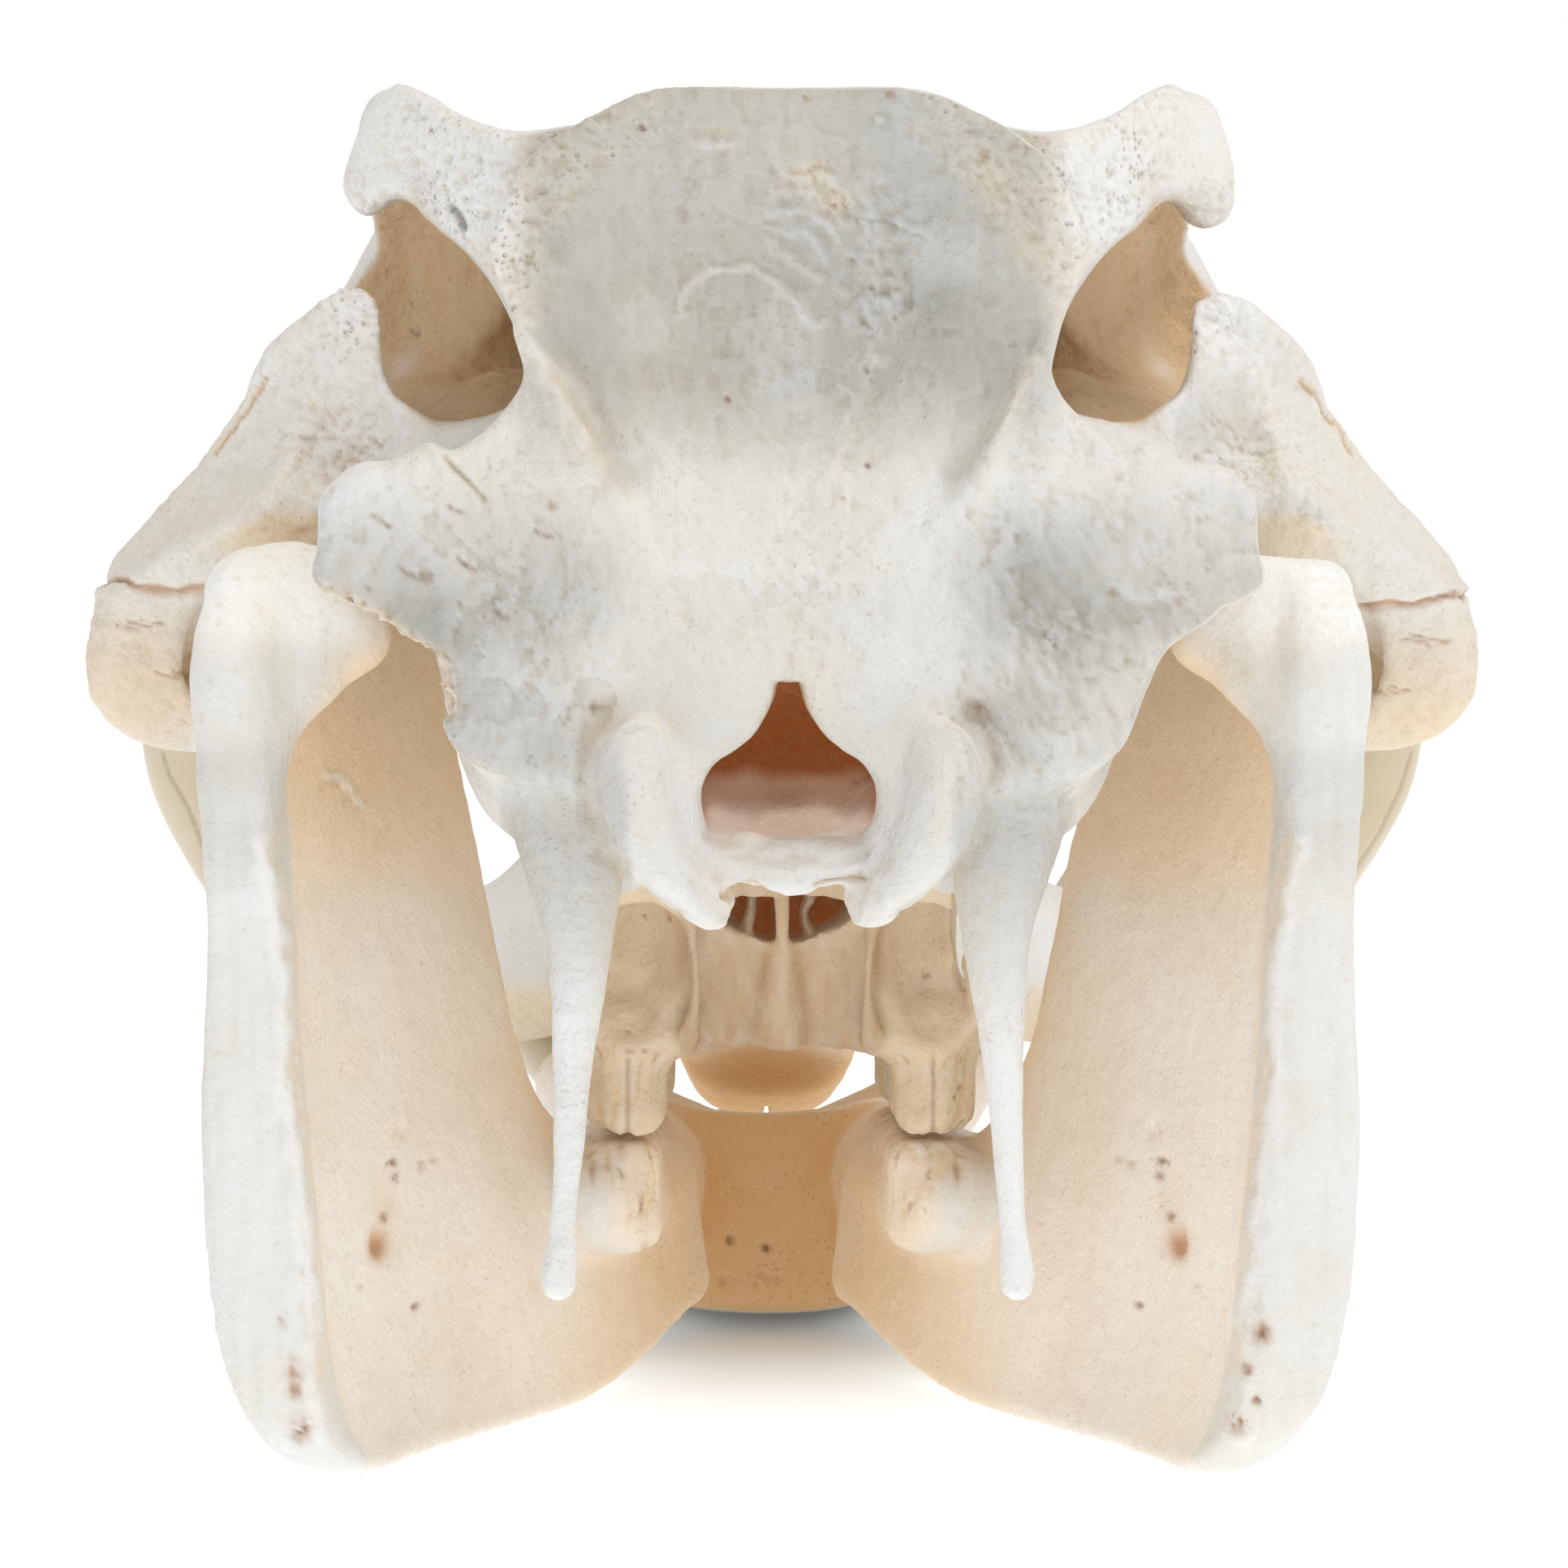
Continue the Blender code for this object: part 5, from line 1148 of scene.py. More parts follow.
def mark_wings(s, rear):
    """The two wings beside the foramen, the left one with a broken edge."""
    wing = rear * step_up(s.ax, 13, 38) * under(s.z, 160, 26) * step_up(s.z, 98, 112)
    s.texture(wing, 0.5, rough_noise, 6.0, 3, 49)
    s.texture(wing, 0.34, flow, -0.55, 7.0, 1.7, 2, 69)
    # The wings are painted grey: the bone's own grey and painted shade
    s.mark(wing * (0.84 - 0.28 * under(s.z, 132, 10) + 0.35 * s.noise(14, 2, 92)), grey=1.0)
    s.peel(wing, (6.0, 6.0, 8.0), 0.35, 113, 0.03)
    lumps = wing * under(s.ax, 52, 8) * under(s.z, 143, 10)
    s.texture(lumps, 0.45, flow, -0.4, 4.5, 2.2, 3, 50)
    s.texture(lumps, 0.16, ridged, (3.4, 3.4, 5.5), 3, 58)
    s.texture(wing, -0.25, specks, 5.2, 51, 0.05, amber=0.25, dark=0.10)
    s.mark(wing, pores=0.3)
    beside_condyle = [(27.2, 117.8), (29.2, 115.0), (30.8, 110), (30.4, 103.5), (27.8, 97.0), (22.8, 91.2),
                      (17.0, 87.6)]
    # Painted shade: a warm grey crease round each condyle
    for side in (-1, 1):
        s.line(pair(side, beside_condyle), 1.6, -1.0, wobble=0.8, warm=0.15, grey=0.4)
    s.line([(-51.3, 155.6), (-48.9, 153.2), (-45.5, 149.6)], 0.45, -0.5, dark=0.3, warm=0.6)
    s.line([(-52.0, 156.2), (-49.4, 154.6), (-46.4, 151.0)], 0.8, 0.5)
    scratches = ((-51, 148.5), (-49.5, 140.5), (-58, 139), (-44, 133), (-38, 145), (-62, 147))
    for k, (x, z) in enumerate(scratches):
        s.line([(x, z), (x + 2.2, z - 1.0 - 0.5 * (k % 2))], 0.35, -0.35, amber=0.25, dark=0.10)
    # Painted shade in the pit beside each condyle
    for x in (-28.9, 28.5):
        s.dot((x, 4, 118.2), (0.9, 8, 0.9), -1.2, dark=0.35, warm=0.9)
        s.dot((x * 0.93, 4, 115.5), (5, 8, 3.5), -0.6, warm=0.35)
    s.line([(49, 136.4), (52, 135.4), (56, 136.2), (60.2, 133.2)], 1.0, 0.35, wobble=1.4, clean=0.2)
    s.dot((57.3, 9, 142.6), (0.6, 8, 0.6), -0.3, dark=0.5)
    broken = [(-72, 134.5), (-66.5, 133.5), (-61, 130.4), (-57, 127.4), (-53.2, 125), (-52, 119)]
    edge = s.behind(broken, 2.2, 20)
    cells = np.maximum(only(edge, pits, s.p, (1.8, 1.8, 1.8), 55, 0.9), only(edge, wrinkle, s.p, 2.6, 56))
    s.mark(cells, -1.1, amber=0.22)
    s.mark(edge, warm=0.65, yellow=0.25, pores=1.0)
    outer = s.behind([(-73, 154), (-74, 146), (-74, 136)], 2.2, 20, 0.8)
    outer = outer + s.behind([(73, 154), (74, 146), (73, 138)], 2.2, 20, 0.8)
    s.mark(outer * ridged(s.p, (3.0, 3.0, 3.0), 2, 93), 0.35)


def mark_temporal(s):
    """The hollow between the orbit and the brain case, seen through the opening, and the bone around it."""
    on_side = step_up(s.outward, 0.2, 0.6) * step_up(s.ax, 58, 64)
    on_top = step_up(s.upward, 0.2, 0.6) * step_up(s.z, 180, 186)
    inside = step_up(s.ax, 33, 40) * step_up(s.y, 22, 32) * under(s.y, 112, 8) * step_up(s.z, 146, 158)
    inside = inside * under(s.z, 204, 6) * (1 - np.maximum(on_side, on_top))
    inside = inside * (1 - step_up(s.ax, 56, 60) * under(s.y, 50, 5))
    # Inside the hollow the bone is painted tan, amber and darker: partly its own colour, partly painted shade
    # and bounce light
    s.mark(inside, warm=1.0, yellow=0.22)
    s.mark(inside * (0.75 + 0.25 * s.noise(12.0, 2, 60)), yellow=0.45, amber=0.12, dark=0.19)
    s.texture(inside, -0.4, pits, (3.5, 3.5, 3.5), 62, 0.3, amber=0.25)
    s.texture(inside, 0.18, ridged, (4.0, 4.0, 4.0), 2, 94)
    s.dot((-60.2, 95, 179.4), (1.1, 20, 1.1), -0.5, dark=0.35)
    for side, size in ((-1, 1.0), (1, 0.75)):
        s.dot((side * 51.5, 66, 170.6), (5.4 * size, 16, 4.2 * size), -1.0, amber=0.22)
    s.line([(-51.5, 194.9), (-50.3, 193.7), (-49.6, 191.6)], 0.6, -0.6, 45, dark=0.6)
    front = step_up(s.rearward, 0.0, 0.4) * step_up(s.z, 186, 192) * under(s.y, 60, 8)
    s.mark(front * step_up(s.ax, 38, 44), clean=0.8)
    porous = front * under(s.ax, 60, 8) * step_up(s.ax, 40, 46) * under(s.z, 204, 5)
    s.texture(porous, 0.18, ridged, (2.6, 2.6, 1.8), 3, 95, warm=0.12)
    s.peel(porous, (3.0, 3.0, 2.0), 0.12, 114, warm=0.10)
    tip = front * step_up(s.ax, 60, 64) * under(s.z, 203, 4)
    s.texture(tip, -0.25, pits, (2.0, 2.0, 1.6), 64, 0.35, warm=0.15)
    s.texture(tip, 0.35, ridged, (2.2, 2.2, 2.2), 2, 96)
    for side in (-1, 1):
        top = s.spot((side * 67, 36, 180), (8, 16, 7))
        s.texture(top, 0.5, wrinkle, (3.0, 3.0, 2.2), 65)
        s.mark(top, clean=0.9)


def mark_ears(s):
    """The ear pits: folds that run in from all round, with yellow spongy bits in the middle."""
    for side, height in ((-1, 160.0), (1, 158.0)):
        u, v = s.x * side - 70, s.z - height
        radius, turn = np.sqrt(u * u + v * v), np.arctan2(v, u)
        fold = np.stack([4.5 * np.cos(turn), 4.5 * np.sin(turn), radius * 0.22], 1)
        pit = s.spot((side * 70, 32, height), (11, 14, 12))
        s.mark(pit, clean=0.8)
        s.mark(only(pit, wrinkle, fold, (1.4, 1.4, 2.5), 66), -0.55, yellow=0.12)
        s.peel(pit, (5.0, 5.0, 3.0), 0.25, 115, 0.05)
        s.mark(pit, warm=0.22)
        spongy = s.spot((side * 66, 32, height - 2.5), (6, 12, 6))
        s.texture(spongy, 0.9, ridged, (3.2, 3.2, 3.2), 3, 67, clean=0.6)
        s.texture(spongy, -0.8, pits, (2.8, 2.8, 2.8), 70, 0.5, yellow=0.40)
        s.texture(s.spot((side * 76, 30, height + 8), (9, 16, 14)), 0.3, ridged, (3.2, 3.2, 3.2), 2, 82)
        # Painted shade: warm tan under the arch, above the jaw's condyle
        s.dot((side * 79, 42, 147.5), (11, 12, 5.5), warm=0.9, yellow=0.12)


def mark_cheeks(s):
    """The cheek arches: the suture to the cheek bone, rough patches below it and grooves along the bone."""
    cheek = step_up(s.ax, 66, 78) * step_up(s.z, 100, 112)
    s.texture(cheek, 0.34, rough_noise, (2.0, 7.0, 2.0), 3, 59)
    s.mark(cheek, warm=0.22, stripes=0.8, grey=0.2)
    suture = [(112, 138.8), (107, 138.2), (103, 137.2), (99.5, 136.6), (92, 136.4)]
    for side, drop in ((-1, 0.0), (1, -2.5)):
        lowered = [(side * a, b + drop) for a, b in suture]
        s.line(lowered, 0.6, -1.0, 95, 0.7, amber=0.40, yellow=0.3)
        rough = s.spot((side * 107, 66, 131 + drop), (6, 16, 7))
        s.texture(rough, 0.6, wrinkle, (3.4, 3.4, 1.8), 68)
        s.mark(rough, clean=0.9)
        plain = s.spot((side * 102, 74, 123 + drop), (20, 28, 15)) * step_up(s.rearward, -0.3, 0.3)
        s.mark(plain, warm=1.0, yellow=0.55, amber=0.08, grey=0.4, dark=0.07)
        for k in range(7):
            x, z = 106 - 2.1 * k, 131 - 2.6 * k + 3.0 * (k % 3) + drop
            s.line(pair(side, [(x, z), (x - 3.4, z - 0.7)]), 0.25, -0.35, 110, amber=0.35)
        for k in range(4):
            x, z = 81 + 2.3 * k, 169.5 - 2.9 * k
            s.line(pair(side, [(x, z), (x + 1.7, z - 2.6)]), 0.4, -0.6, 80, 0.8, yellow=0.5, amber=0.10)


def mark_underside(s):
    """The foramen's lip and tunnel, the nose's rear openings, and the palate's ramp and front bowl."""
    lip = under(s.ax, 16, 3) * under(s.y, 8, 4) * step_up(s.z, 82, 84) * under(s.z, 103, 3)
    s.texture(lip, 0.9, rough_noise, (6.0, 5.0, 3.0), 2, 72, grey=0.25)
    s.line([(-9.5, 90.8), (-5.5, 91.8), (-1.5, 90.6)], 0.7, -0.8, 8, 0.8, warm=0.5, yellow=0.2)
    s.line([(4.2, 91.6), (7.5, 92.0), (10.5, 92.6)], 0.7, -0.9, 8, 0.8, warm=0.7, dark=0.06)
    tunnel = under(s.ax, 24, 4) * step_up(s.y, 1, 9) * step_up(s.z, 91, 94) * under(s.z, 132, 6)
    tunnel = tunnel * under(s.y, 60, 8)
    s.mark(tunnel, clean=1.0)
    height = s.z + 1.2 * smooth_noise(s.p, 5.0, 116)
    # Inside the foramen: a painted glow, strongest on its floor, and painted shade that turns warm, amber and
    # dark towards its roof, for light bounced about in the cavity
    s.mark(tunnel, warm=0.25, glow=0.42)
    s.mark(tunnel * under(height, 105, 4), glow=0.75, warm=0.45)
    s.mark(tunnel * step_up(height, 100.5, 105), warm=0.8, amber=0.36, dark=0.24)
    s.mark(tunnel * step_up(height, 105.0, 109.5), amber=1.0, dark=0.32)
    s.mark(tunnel * step_up(s.ax, 11, 14) * step_up(s.z, 98, 101), amber=0.6)
    # Small openings in the tunnel, painted dark as shade
    for x, z in ((-9.6, 110), (3.4, 109), (10.9, 106.5), (2.6, 117)):
        s.mark(s.spot((x, 22, z), (0.7, 24, 0.5)) * tunnel, -0.4, dark=0.7)
    nose = under(s.ax, 14, 3) * step_up(s.y, 66, 80) * step_up(s.hollow, 0.2, 0.8) * step_up(s.z, 76, 79)
    # The nose's rear openings: painted shade, deep amber inside, and a painted glow, fainter at their mouth
    s.mark(nose * step_up(s.y, 88.0, 91), amber=0.95, glow=0.6)
    s.mark(nose * under(s.y, 90, 3), clean=0.7, glow=0.2)
    base = under(s.z, 110, 14) * step_up(s.y, 50, 66) * under(s.ax, 36, 4) * under(s.y, 150, 20)
    # The underside is painted warm and grey and the ramp darker: partly the bone's own tone, partly painted
    # shade under the skull
    s.mark(base, warm=0.75, yellow=0.08)
    ramp = base * under(s.ax, 18, 3)
    s.texture(ramp, 0.45, rough_noise, (2.2, 9.0, 9.0), 2, 73)
    s.mark(ramp * step_up(s.noise((2.2, 12.0, 12.0), 2, 74), -0.6, 0.4), warm=1.0, yellow=0.30, dark=0.30)
    s.mark(ramp, amber=0.18, dark=0.18)
    s.mark(base, grey=0.6)
    beside = base * step_up(s.ax, 15, 19)
    s.texture(beside, 0.35, rough_noise, (6.0, 6.0, 5.0), 3, 75)
    s.texture(beside, -0.4, specks, (3.4, 3.4, 3.4), 76, 0.12, amber=0.3, dark=0.08)
    for side in (-1, 1):
        stain = s.spot((side * 24, 94, 70), (6.5, 16, 8)) * step_up(s.noise(4.0, 2, 77), -0.2, 0.4)
        s.mark(stain, dark=0.16, warm=0.5, grey=0.6)
    s.dot((0, 103, 58.6), (6, 6, 4), clean=0.6)
    bowl = step_up(s.y, 312, 326) * under(s.ax, 22, 2) * step_up(s.rearward - 0.6 * s.upward, -0.5, 0.3)
    s.mark(bowl * under(s.z, 58, 8), amber=0.42, yellow=1.0, warm=1.0)
    s.mark(under(s.z, 66, 8) * step_up(s.y, 130, 170), warm=0.9)


def mark_teeth(s, low, high):
    """Tooth rows between two heights: upright lobes, stained grooves and specks."""
    rows = step_up(s.ax, 18.5, 20.5) * under(s.ax, 33.5, 2) * step_up(s.y, 96, 99) * under(s.y, 184, 3)
    rows = rows * step_up(s.z, low, low + 2) * under(s.z, high, 2)
    s.mark(rows * s.noise((2.0, 2.0, 7.0), 2, 78), 0.22)
    lobes = np.abs(np.cos(math.pi * (s.ax - 18.2) / 5.0)) * np.abs(s.rearward)
    lobes += np.abs(np.cos(math.pi * (s.y - 97.5) / 4.6)) * np.abs(s.outward)
    s.mark(rows * step_up(0.45 - lobes, 0.0, 0.45), -0.9, warm=0.5, yellow=0.12)
    s.mark(rows, warm=0.42, yellow=0.08)
    s.texture(rows, -0.35, wrinkle, (5.0, 5.0, 14.0), 79, warm=0.8, yellow=0.2)
    s.texture(rows, -0.2, specks, (4.0, 4.0, 4.0), 80, 0.06, dark=0.2, amber=0.4)
    return rows


def mark_face(s):
    """Sutures and blood-vessel openings on the forehead, the muzzle and the cheeks."""
    roof = step_up(s.z + 0.25 * s.y, 125, 135)
    s.mark(s.above([(0, 16), (0, 120), (0, 240), (0, 362)], 0.5, 0.9) * roof, -0.45, warm=0.5, dark=0.12)
    for side in (-1, 1):
        nasal = pair(side, [(9, 122), (13, 170), (14, 230), (12, 300)])
        frontal = pair(side, [(0, 126), (8, 121), (26, 118), (44, 108)])
        s.mark(s.above(nasal, 0.5, 0.7), -0.4, warm=0.45, dark=0.10)
        s.mark(s.above(frontal, 0.5, 1.4), -0.4, warm=0.45)
        # The vessel openings are painted dark as shade inside them
        s.dot((side * 14, 84, 200), (1.4, 2.6, 9), -1.2, warm=0.8, dark=0.4)
        s.dot((side * 33, 196, 108), (6, 7, 4.5), warm=0.8, dark=0.3)
    s.mark(s.beside([(262, 118), (282, 96), (300, 80), (312, 60), (318, 48)], 0.5, 0.9), -0.4, warm=0.45)
    s.mark(s.beside([(118, 168), (104, 150), (98, 132), (84, 116)], 0.6, 1.2), -0.45, warm=0.5)
    side_face = step_up(np.abs(s.outward), 0.4, 0.8) * step_up(s.y, 120, 150)
    s.mark(side_face * s.noise((5.0, 16.0, 4.0), 3, 81), 0.25, stripes=0.3)


def cranium_surface(piece, crowd):
    s = Surface(piece)
    rear = step_up(s.rearward, 0.1, 0.5) * under(s.y, 40, 12)
    s.mark(np.ones(len(s.x), np.float32), warm=0.08, pores=0.2, grey=0.16)
    # Painted shade: hollow places are tinted warm
    s.mark(step_up(s.hollow, 0.25, 0.8), warm=0.35)
    # Painted shade: bone deep between bones is tinted warm
    s.mark(painted_shade_between(piece, crowd), warm=0.8)
    rod = step_up(s.ax, 22, 25) * under(s.ax, 46, 5) * under(s.y, 40, 8) * under(s.z, 128, 30)
    s.mark(rod, clean=1.0)
    s.mark(rod * step_up(s.z, 60, 100), grey=0.6)
    s.mark(rod, grey=0.1)
    s.mark(rear * under(s.ax, 30, 8) * under(s.z, 146, 12), grey=0.27)
    s.texture(rod, 0.16, flow, 0.0, 12.0, 1.8, 2, 98)
    mark_fan(s, rear)
    mark_wings(s, rear)
    mark_temporal(s)
    mark_ears(s)
    mark_cheeks(s)
    mark_underside(s)
    mark_teeth(s, BITE_Z + BITE_GAP - 6, 62)
    mark_face(s)
    return s


def mark_ramus(s, side):
    """One side of the jaw's rear plate: the lip of its rear band, a vessel's channel and rusty pits."""
    lip = [(79.3, 98), (77.5, 88), (75.6, 74), (76, 60), (74, 50), (73, 37), (71.3, 27), (71.8, 17),
           (70.8, 6)]
    inside_lip = [(77.4, 98), (75.4, 88), (73.5, 74), (74, 60), (72, 50), (71, 37), (69.3, 27), (69.8, 17)]
    s.line(pair(side, lip), 1.1, 0.3, 34, 0.8, clean=0.8)
    s.line(pair(side, inside_lip), 1.0, -0.2, 40, 0.8, warm=0.5)
    channel = s.spot((side * 61.2, 50, 39.5), (5.5, 10, 9)) * step_up(-s.outward, 0.2, 0.6)
    s.mark(channel, -0.7, warm=0.85)
    s.dot((side * 63.0, 47, 33.0), (2.6, 6, 3.0), -0.8, amber=0.75, yellow=0.5)
    s.dot((side * 60.0, 55, 49.4), (1.2, 6, 1.6), -0.5, amber=0.6)
    for x, z in ((61, 43), (61.4, 45.2), (62.4, 37), (65.8, 27),
                 (57.2, 44), (55.5, 44.4), (52, 37), (58, 22)):
        s.dot((side * x, 54, z), (0.7, 16, 0.7), -0.5, amber=0.6, dark=0.3)


def mark_chin(s):
    """The rear face of the chin: the two vessel openings and brown stains below them."""
    symphysis = step_up(s.rearward, 0.2, 0.6) * step_up(s.y, 180, 186)
    # The vessel openings are painted dark as shade inside them
    for x, z in ((-8.1, 18.1), (-1.5, 16.6)):
        s.mark(s.spot((x - JAW_SHIFT_X, 192, z), (0.9, 14, 0.8)) * symphysis, -1.2, dark=0.75, amber=0.6)
    for x, z in ((-9.0, 10.4), (-1.5, 10.8)):
        stain = s.spot((x - JAW_SHIFT_X, 192, z), (3.4, 14, 1.8)) * step_up(s.noise(2.5, 2, 86), -0.3, 0.4)
        s.mark(stain, -0.2, amber=0.55, dark=0.12)


def mandible_surface(piece, crowd):
    s = Surface(piece)
    rear_edge = under(s.y, 26, 8)
    inner = step_up(-s.outward, 0.1, 0.6)
    s.mark(0.10 + 0.22 * inner * (1 - rear_edge) + 0.5 * step_up(s.y, 110, 190), warm=1.0, pores=0.6)
    chin = step_up(s.rearward, 0.0, 0.5) * step_up(s.y, 150, 186) * under(s.ax, 40, 12)
    # The chin's rear face under the skull: the bone's own warm tone with painted amber bounce light and shade
    # and a painted glow
    s.mark(chin * (0.85 + 0.15 * s.noise(12, 2, 99)), yellow=0.95, amber=0.30, glow=0.25)
    # The jaw's insides: warm, partly the bone's own tone and partly painted bounce light, with a painted glow
    # and painted shade near the top at the rear
    s.mark(inner * step_up(s.y, 50, 150) * (1 - chin), yellow=0.35, warm=0.7)
    s.mark(inner * (1 - rear_edge), glow=0.22)
    s.mark(inner * step_up(s.z, 70, 108) * step_up(s.y, 10, 30), yellow=0.36, warm=0.9)
    # Painted shade: jaw bone deep between bones is tinted warm
    s.mark(painted_shade_between(piece, crowd, JAW_SHIFT_X), warm=0.85)
    # Painted shade: hollow places are tinted warm
    s.mark(step_up(s.hollow, 0.25, 0.8), warm=0.5)
    s.mark(rear_edge, clean=0.75, grey=0.16)
    s.mark(rear_edge * step_up(s.z, 78, 100) * under(s.z, 120, 12), grey=0.36)
    s.mark(inner * under(s.z, 110, 40), stripes=0.5)
    s.texture(inner, 0.30, rough_noise, (4.0, 8.0, 9.0), 3, 100)
    s.texture(rear_edge, 0.14, flow, 0.0, 14.0, 1.8, 2, 101)
    for side in (-1, 1):
        mark_ramus(s, side)
    for x, z, size in ((-75.6, 24.9, 1.0), (-74.1, 17.4, 1.6), (-74.0, 14.3, 1.3), (-73.3, 8.1, 1.9),
                       (73.1, 22.9, 1.6), (71.2, 17.4, 1.0), (70.0, 8.7, 1.8), (72.5, 12.5, 0.8)):
        rust = s.spot((x, 13, z), (size, 12, size * 1.3))
        s.mark(rust * step_up(s.noise(1.8, 2, 84), -0.5, 0.1), -0.6, amber=0.65)
        s.texture(rust, -0.5, wrinkle, 2.0, 85, amber=0.95, dark=0.25)
    s.line([(-71.4, 107.7), (-69, 106.7), (-66.3, 102.0), (-63.5, 101)], 0.4, 0.35, 60, 0.8, clean=0.7)
    s.line([(-71.4, 106.7), (-69, 105.6), (-67, 101.8)], 0.4, -0.2, 60, 0.8, warm=0.6)
    for x, z in ((-21.7, 26.3), (20.3, 24.9), (-19, 22), (23, 21)):
        s.dot((x, 110, z), (1.0, 24, 1.6), -0.2, dark=0.30)
    mark_chin(s)
    rows = mark_teeth(s, 30, BITE_Z - BITE_GAP + 5)
    rust = rows * under(s.y, 104, 3) * under(s.ax, 23.5, 2) * under(s.z, 37, 3)
    s.mark(rust * step_up(s.noise((1.6, 3.0, 5.0), 2, 87), -0.1, 0.3), -0.3, amber=0.7, dark=0.15)
    # The openings on the chin's sides are painted dark as shade inside them
    openings = s.spot((27, 248, 20), (6, 3.2, 2.4)) + s.spot((-27, 248, 20), (6, 3.2, 2.4))
    s.mark(openings, -1.0, amber=0.3, dark=0.5)
    muscle_field = step_up(s.outward, 0.5, 0.8) * under(s.y, 100, 30)
    s.mark(muscle_field * s.noise((9.0, 9.0, 20.0), 3, 88), 0.5, stripes=0.4)
    ends = step_up(s.z, 124, 132) * under(s.y, 60, 8)
    # The jaw's top ends are washed clean and given a faint painted glow
    s.mark(ends, clean=0.9, glow=0.2)
    s.texture(ends, 0.12, ridged, (2.6, 2.6, 2.0), 3, 90)
    s.relief *= step_up(s.z, 0.0, 2.5)
    return s


def tusk_surface(piece):
    """A tusk's warm patches, and a thin crack on each upper one."""
    s = Surface(piece)
    s.relief = 0.08 * s.noise(6.0, 2, 71)
    for crack in TUSK_CRACKS:
        s.line(crack, 0.4, -0.3, 400, dark=0.35, warm=0.6)
    s.mark(step_up(0.5 + 0.5 * s.noise((20, 20, 20), 2, 91), 0.4, 0.8), warm=0.5)
    return s


# Materials
class Nodes:
    """Adds nodes to a material or a world and joins them."""

    def __init__(self, owner, coordinates="Object"):
        self.owner, self.tree = owner, owner.node_tree
        self.shader = self.tree.nodes.get("Principled BSDF")
        self.place = self.add("ShaderNodeTexCoord").outputs[coordinates]

    def add(self, kind, **settings):
        item = self.tree.nodes.new(kind)
        for key, value in settings.items():
            setattr(item, key, value)
        return item

    def put(self, socket, value):
        if isinstance(value, bpy.types.NodeSocket):
            self.tree.links.new(value, socket)
        else:
            socket.default_value = value

    def fill(self, item, values):
        for name, value in values.items():
            item.inputs[name].default_value = value

    def maths(self, operation, a, b=0.0, clamp=False):
        item = self.add("ShaderNodeMath", operation=operation, use_clamp=clamp)
        self.put(item.inputs[0], a)
        self.put(item.inputs[1], b)
        return item.outputs[0]

    def times(self, a, b):
        return self.maths("MULTIPLY", a, b)

    def mapped(self, **values):
        item = self.add("ShaderNodeMapping")
        self.put(item.inputs["Vector"], self.place)
        self.fill(item, values)
        return item.outputs[0]

    def noise(self, scale, detail, roughness=0.55, stretch=None):
        item = self.add("ShaderNodeTexNoise")
        self.put(item.inputs["Vector"], self.mapped(Scale=stretch) if stretch else self.place)
        self.fill(item, {"Scale": scale, "Detail": detail, "Roughness": roughness})
        return item.outputs["Fac"]

    def cells(self, scale):
        item = self.add("ShaderNodeTexVoronoi")
        self.put(item.inputs["Vector"], self.place)
        self.fill(item, {"Scale": scale})
        return item.outputs["Distance"]

    def between(self, value, low, high, to_low=0.0, to_high=1.0):
        item = self.add("ShaderNodeMapRange", interpolation_type="SMOOTHSTEP")
        self.put(item.inputs["Value"], value)
        self.fill(item, {"From Min": low, "From Max": high, "To Min": to_low, "To Max": to_high})
        return item.outputs["Result"]

    def mix(self, factor, a, b, how="MIX"):
        item = self.add("ShaderNodeMix", data_type="RGBA", blend_type=how)
        self.put(item.inputs[0], factor)
        self.put(item.inputs[6], (*a, 1.0) if isinstance(a, tuple) else a)
        self.put(item.inputs[7], (*b, 1.0) if isinstance(b, tuple) else b)
        return item.outputs[2]

    def masks(self, layer):
        item = self.add("ShaderNodeAttribute", attribute_type="GEOMETRY", attribute_name=layer)
        split = self.add("ShaderNodeSeparateColor")
        self.put(split.inputs[0], item.outputs["Color"])
        return split.outputs[0], split.outputs[1], split.outputs[2], item.outputs["Alpha"]

    def bumped(self, height, distance, strength, lower=None):
        """The surface's direction with a fine relief on it, and on the lower relief if one is given."""
        item = self.add("ShaderNodeBump")
        self.fill(item, {"Strength": strength, "Distance": distance})
        self.put(item.inputs["Height"], height)
        if lower is not None:
            self.put(item.inputs["Normal"], lower)
        return item.outputs["Normal"]


def material_nodes(name):
    material = bpy.data.materials.new(name)
    material.use_nodes = True
    return Nodes(material)


